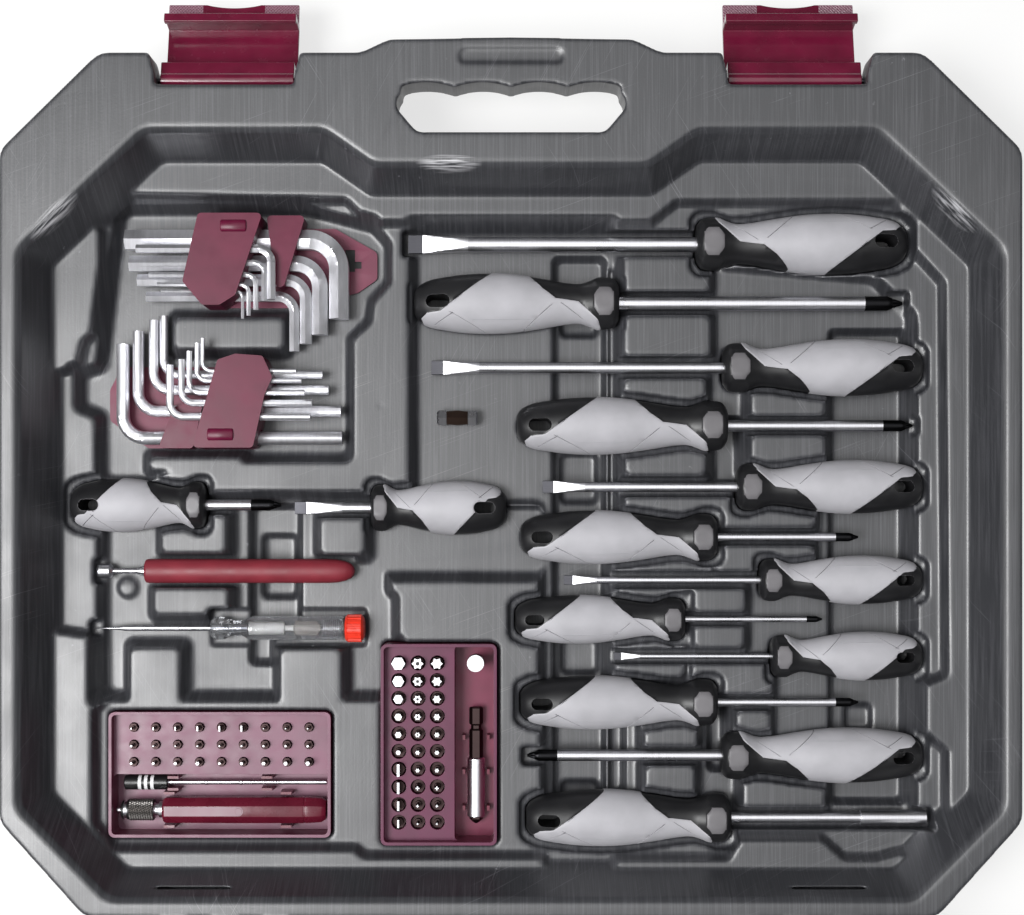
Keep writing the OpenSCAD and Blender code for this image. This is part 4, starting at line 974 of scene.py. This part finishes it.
class CASE_OT_bit_boxes(Maker, bpy.types.Operator):
    """Precision tray and bit box with everything in them"""
    bl_idname = "toolcase.bit_boxes"
    bl_label = "Bit boxes"

    def make(self, c, s):
        # Tinted polycarbonate: glossy, with dark corners where its walls are thick; the precision tray's
        # upward faces are painted paler as a sheen.
        walls = moulded("moulded_tinted_polycarbonate", c.box, 0.36, Specular_IOR_Level=0.4)
        decks_and_sheen = {"precision_tray": moulded("moulded_tray_painted_sheen", c.deck, 0.4),
                 "bit_box": moulded("moulded_box_deck", c.inner, 0.4, Specular_IOR_Level=0.4)}
        # Clips of the same plastic, painted a clearer red for the light that shines through them where they
        # are thin.
        self.clip = moulded("moulded_clip_polycarbonate", c.latch, 0.3)
        self.steel = bpy.data.materials["turned_nickel_steel"]
        # Tool steel bits: phosphated brown-black shanks, and freshly ground tips that look almost white.
        self.dark = drawn("phosphated_tool_steel", c.bit_steel, 0.42, "z")
        self.bright = drawn("ground_tool_steel", shade(c.bright, 0.68), 0.45, "y")
        for node, body in (("precision_tray", "precision_set"), ("bit_box", "bit_set")):
            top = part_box(node)[1].z
            # What looks up takes the deck colour: all over in the tray, where it is a painted sheen, and in
            # the box on its top and 6 mm below that.
            levels = [(-1, 1)] if node == "precision_tray" else \
                [(top - 6.5 * MM, top - 5.5 * MM), (top - 0.8 * MM, 1)]
            refined(node, body, "box_plastic", s.plastic_edge, walls, decks_and_sheen[node],
                    choose=lambda f: int(f.normal.z > 0.7 and any(
                        under < f.calc_center_median().z < over for under, over in levels)))
        self.bits("precision_bits", "precision_set", 2.0, TRAY_COLUMNS)
        self.bits("bits", "bit_set", 3.175, BOX_COLUMNS)
        self.extension(c)
        self.small_driver(c)
        self.box_tools(s)
        self.clips()

    def bits(self, node, body, flat_radius, columns):
        low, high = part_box(node)
        # The outer bits touch the node's box: along X with a corner of the hexagon, along Y with a flat.
        half = flat_radius * MM / math.cos(math.pi / 6)
        flat = half * math.cos(math.pi / 6)
        pitch_x = (high.x - low.x - 2 * half) / (len(columns) - 1)
        pitch_y = (high.y - low.y - 2 * flat) / (len(columns[0]) - 1)
        bm = bmesh.new()
        for i, column in enumerate(columns):
            for j, (shape, size) in enumerate(column):
                centre = (low.x + half + i * pitch_x, high.y - flat - j * pitch_y)
                bit(bm, centre, low.z, high.z, half, shape, size)
        # The bore in a tamper-proof tip is painted shade: a thin black disc on the tip's face stands for its
        # bottom.
        finished(node + "_formed", bm, body, "bit_steel", self.dark, self.bright,
                 moulded(node + "_painted_shade_bore", (0.01, 0.01, 0.01), 0.5), node=node)

    def extension(self, c):
        """Extension with its ringed sleeve."""
        at, long, r = lying("precision_extension")
        rings = (7.4, 10.6, 13.9)
        line = [(0, 0), (0, 0.8 * r), (0.6, r)]
        for start in rings:
            line += [(start, r), (start + 0.15, r), (start + 1.55, r), (start + 1.7, r)]
        line += [(22.4, r), (23, 0.8 * r), (23, 1.3)]
        for start in (42, 60, 78):
            line += [(start, 1.3), (start + 0.3, 1.5), (start + 1.5, 1.5), (start + 1.8, 1.3)]
        bm = turned(line + [(long - 0.4, 1.3), (long, 0.9), (long, 0)], 32)
        for f in bm.faces:
            x = f.calc_center_median().x / MM
            ringed = any(start <= x <= start + 1.7 for start in rings)
            f.material_index = 0 if x > 22.95 else 2 if ringed else 1
        moved(bm, at)
        # Turned acetal sleeve, black and smooth, with three pale rings let into it.
        finished("extension_ringed", bm, "precision_set", "bit_steel", self.steel,
                 moulded("turned_black_acetal", linear("#19191a"), 0.3),
                 moulded("pale_acetal_ring", c.ring, 0.4), node="precision_extension")

    def small_driver(self, c):
        """Small driver: knurled head, faceted body and the flat strip along it."""
        at, long, r = lying("precision_driver")
        knurl = [(6.6 + 1.25 * i, 0.72) for i in range(11)]
        head = turned([(x, share * r) for x, share in [
            (0, 0), (0, 0.26), (2.2, 0.3), (2.2, 0.55), (3, 0.66), (3.8, 0.66), (4, 0.6), (5.2, 0.6),
            (5.4, 0.7), *knurl, (19.2, 0.66), (19.2, 0.5), (20, 0.42), (21.5, 0.42), (22, 0.56),
            (24.2, 0.56), (24.2, 0)]], 36)
        # Each row of the knurl is turned half a step from the last, and every face is drawn up to a point.
        for i, (x, _) in enumerate(knurl):
            row = [v for v in head.verts if abs(v.co.x - x * MM) < 0.01 * MM]
            bmesh.ops.rotate(head, cent=(0, 0, 0), matrix=Matrix.Rotation(i * math.pi / 36, 3, "X"),
                             verts=row)
        for f in head.faces:
            x = f.calc_center_median().x / MM
            f.material_index = 0 if x < 2.3 or 3.6 < x < 5.6 or x > 19.3 else 1
        band = [f for f in head.faces if knurl[0][0] < f.calc_center_median().x / MM < knurl[-1][0]]
        painted(band, lambda f: 2)
        bmesh.ops.poke(head, faces=band, offset=0.45 * MM)
        moved(head, at)
        # Cold-knurled steel: each point catches the light on one side and is dark on the other.
        finished("small_driver_head", head, "precision_set", "bit_steel", self.steel,
                 moulded("black_collar_acetal", linear("#161617"), 0.35),
                 drawn("knurled_steel", c.knurl, 0.3), smooth=25)
        stations = [(24.0, 0.82), (25.2, 0.97), (60, 1.0), (97.4, 1.0), (97.6, 0.965), (98.2, 0.965),
                    (98.4, 1.0), (long - 2.5, 0.93), (long, 0.7)]
        half = r * 0.98
        bm = extruded(8, [(x, half * share, half * share) for x, share in stations], turn=math.pi / 8)
        round_edges(bm, 0.5 * MM)
        flat = max(v.co.z for v in bm.verts)
        # The strip's round end is a circle whose near half is drawn back and straightened.
        face = polygon(bm, 24, 2.4 * MM)
        near = [v for v in face.verts if v.co.x < -1e-6]
        bmesh.ops.scale(bm, vec=(0, 1.03, 1), verts=near)
        bmesh.ops.translate(bm, vec=(-38.5 * MM, 0, 0), verts=near)
        raised(bm, face, (64 * MM, 0), flat - 0.5 * MM, flat + 0.13 * MM, 1, 1)
        raised(bm, polygon(bm, 24, 1.9 * MM), (64 * MM, 0), flat, flat + 0.25 * MM, 0, 1, 0.9)
        moved(bm, at)
        # Anodised aluminium, dyed red, with a milled flat left pale.
        finished("small_driver_body", bm, "precision_set", "driver_plastic",
                 moulded("red_anodised_body", c.driver, 0.26), moulded("milled_pale_strip", c.strip, 0.45),
                 node="precision_driver")

    def box_tools(self, s):
        """Magnetic holder with its bit, and the socket adapter."""
        low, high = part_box("bit_holder")
        long, r = (high.y - low.y) / MM, (high.x - low.x) / 2 / MM
        # From the shank's end: hexagonal shank with its locking groove, then the bright sleeve and a bit.
        shank = extruded(6, [(x, half, half) for x, half in (
            (0, 3.1), (0.6, 3.6), (8.6, 3.6), (9.6, 2.7), (11.2, 2.7), (12.2, 3.6), (27, 3.6))])
        sleeve = turned([(26.4, 0), (26.4, r - 0.6), (27, r), (57, r), (57.6, r - 0.6), (57.6, 0)], 40)
        tip = extruded(6, [(57, 3.5, 3.5), (58.5, 3.5, 3.5), (long - 0.8, 1.9, 1.9), (long, 0.7, 0.7)])
        x, _, z = middle("bit_holder")
        place = Matrix.Translation((x, high.y, z)) @ Matrix.Rotation(-math.pi / 2, 4, "Z")
        for name, bm, metal, node in (("bit_holder_shank", shank, self.dark, None),
                                      ("bit_holder_sleeve", sleeve, self.steel, "bit_holder"),
                                      ("bit_holder_tip", tip, self.dark, None)):
            bmesh.ops.transform(bm, matrix=place, verts=bm.verts)
            finished(name, bm, "bit_set", "bit_steel", metal, node=node)
        refined("socket_adapter", "bit_set", "bit_steel", s.metal_edge, self.bright, self.dark,
                choose=lambda f: int(f.normal.z < 0.5))

    def clips(self):
        """Clips that hold the loose tools in both boxes: facing pairs, in millimetres from a corner."""
        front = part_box("bit_holder")[0].y
        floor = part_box("bit_box")[0].z + 4 * MM
        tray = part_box("precision_tray")[0]
        box_bm, tray_bm = bmesh.new(), bmesh.new()
        for side in (-1, 1):
            for at in (8, 27, 45):
                centre = (middle("bit_holder")[0] + side * 6.4 * MM, front + at * MM)
                raised(box_bm, oblong(box_bm, 1.8 * MM, 3.2 * MM), centre, floor, floor + 6 * MM, taper=0.8)
            for x, gap, at in ((32, 3.1, 27), (81, 3.1, 27), (30, 8.7, 13.2), (91, 8.7, 13.2)):
                centre = (tray.x + x * MM, tray.y + (at + side * gap) * MM)
                raised(tray_bm, oblong(tray_bm, 6.5 * MM, 1.5 * MM), centre, tray.z + 4 * MM,
                       tray.z + 13 * MM, taper=0.86)
        finished("bit_box_clips", box_bm, "bit_set", "box_plastic", self.clip)
        finished("precision_tray_clips", tray_bm, "precision_set", "box_plastic", self.clip)


# ---------- stage ----------
# Camera: lens and sensor in millimetres, and the picture's shift as a share of its width.
LENS, SENSOR, SHIFT = 59.8, 36, (0.001, 0.061)
CAMERA_Y = -0.018
# Soft lamps: name, place with its rise over the lamp height, side in metres, and watts.
LAMPS = [("softbox_left", (-0.9, -0.25, 0), 0.85, 39), ("softbox_above", (0.1, 0.1, 0.4), 2.4, 22.5)]
LAMP_TARGET = Vector((0, -0.02, 0))
# Share of even white light that the floor shows to the camera and in metal and glass.
FLOOR_GLOW = 0.72
# The floor lies just under the case, so that the two don't share a plane.
FLOOR_GAP = 0.2 * MM
WORLD_LIGHT = 0.08


class CASE_OT_stage(Maker, bpy.types.Operator):
    """Floor, lamps and camera"""
    bl_idname = "toolcase.stage"
    bl_label = "Stage"

    def make(self, c, s):
        scene = bpy.context.scene
        scene.view_settings.view_transform = "Standard"
        bm = bmesh.new()
        bmesh.ops.create_grid(bm, x_segments=1, y_segments=1, size=3)
        moved(bm, (0, -0.2, CAD_BOX[0].z - FLOOR_GAP))
        # Matt painted board: it keeps the shadow, and looks near white to the camera and in metal and glass.
        f = Finish("matt_painted_floor", c.floor, 0.7)
        path = f.node("ShaderNodeLightPath").outputs
        seen = path["Is Camera Ray"]
        for ray in ("Is Glossy Ray", "Is Transmission Ray"):
            seen = f.node("ShaderNodeMath", {"operation": "MAXIMUM"}, i0=seen, i1=path[ray]).outputs[0]
        share = f.node("ShaderNodeMath", {"operation": "MULTIPLY"}, i0=seen, i1=FLOOR_GLOW).outputs[0]
        glow = f.node("ShaderNodeEmission", Color=(1, 1, 1), Strength=1.0).outputs[0]
        mixed = f.node("ShaderNodeMixShader", i0=share, i1=f.shader.outputs[0], i2=glow).outputs[0]
        f.node("ShaderNodeOutputMaterial", {"is_active_output": True}, Surface=mixed)
        keep("studio_floor", bm, f.material, smooth=None)

        world = bpy.data.worlds.new("studio")
        world.use_nodes = True
        scene.world = world
        background = world.node_tree.nodes["Background"]
        background.inputs["Color"].default_value = (1, 1, 1, 1)
        background.inputs["Strength"].default_value = WORLD_LIGHT
        for name, (x, y, rise), size, watts in LAMPS:
            lamp = bpy.data.lights.new(name, "AREA")
            lamp.shape, lamp.size, lamp.energy = "SQUARE", size, watts
            obj = bpy.data.objects.new(name, lamp)
            obj.location = (x, y, s.lamp_height + rise)
            obj.rotation_euler = (LAMP_TARGET - obj.location).to_track_quat("-Z", "Y").to_euler()
            scene.collection.objects.link(obj)
        camera = bpy.data.cameras.new("plan_camera")
        camera.sensor_width, camera.lens = SENSOR, LENS
        camera.shift_x, camera.shift_y = SHIFT
        eye = bpy.data.objects.new("plan_camera", camera)
        eye.location = (0, CAMERA_Y, s.camera_height)
        scene.collection.objects.link(eye)
        scene.camera = eye


class CASE_PT_panel(bpy.types.Panel):
    """Sizes, colours and pieces of the tool case"""
    bl_idname = "CASE_PT_panel"
    bl_label = "Tool Case"
    bl_space_type = "VIEW_3D"
    bl_region_type = "UI"
    bl_category = "Tool Case"

    def draw(self, context):
        layout = self.layout
        for group in (context.scene.case_sizes, context.scene.case_colours):
            column = layout.column(align=True)
            for name in group.bl_rna.properties.keys():
                if name not in ("rna_type", "name"):
                    column.prop(group, name)
        for operator in OPERATORS:
            layout.operator(operator.bl_idname)


OPERATORS = (CASE_OT_stage, CASE_OT_base, CASE_OT_lid, CASE_OT_latches, CASE_OT_pins, CASE_OT_handles,
             CASE_OT_blades, CASE_OT_small_tools, CASE_OT_keys, CASE_OT_bit_boxes)
CLASSES = (CaseColours, CaseSizes, *OPERATORS, CASE_PT_panel)


def register():
    for item in CLASSES:
        bpy.utils.register_class(item)
    bpy.types.Scene.case_colours = PointerProperty(type=CaseColours)
    bpy.types.Scene.case_sizes = PointerProperty(type=CaseSizes)


def unregister():
    del bpy.types.Scene.case_sizes
    del bpy.types.Scene.case_colours
    for item in reversed(CLASSES):
        bpy.utils.unregister_class(item)


def main():
    register()
    for operator in OPERATORS:
        group, name = operator.bl_idname.split(".")
        if getattr(getattr(bpy.ops, group), name)() != {"FINISHED"}:
            raise RuntimeError(f"{operator.bl_label} wasn't finished")


if __name__ == "__main__":
    main()
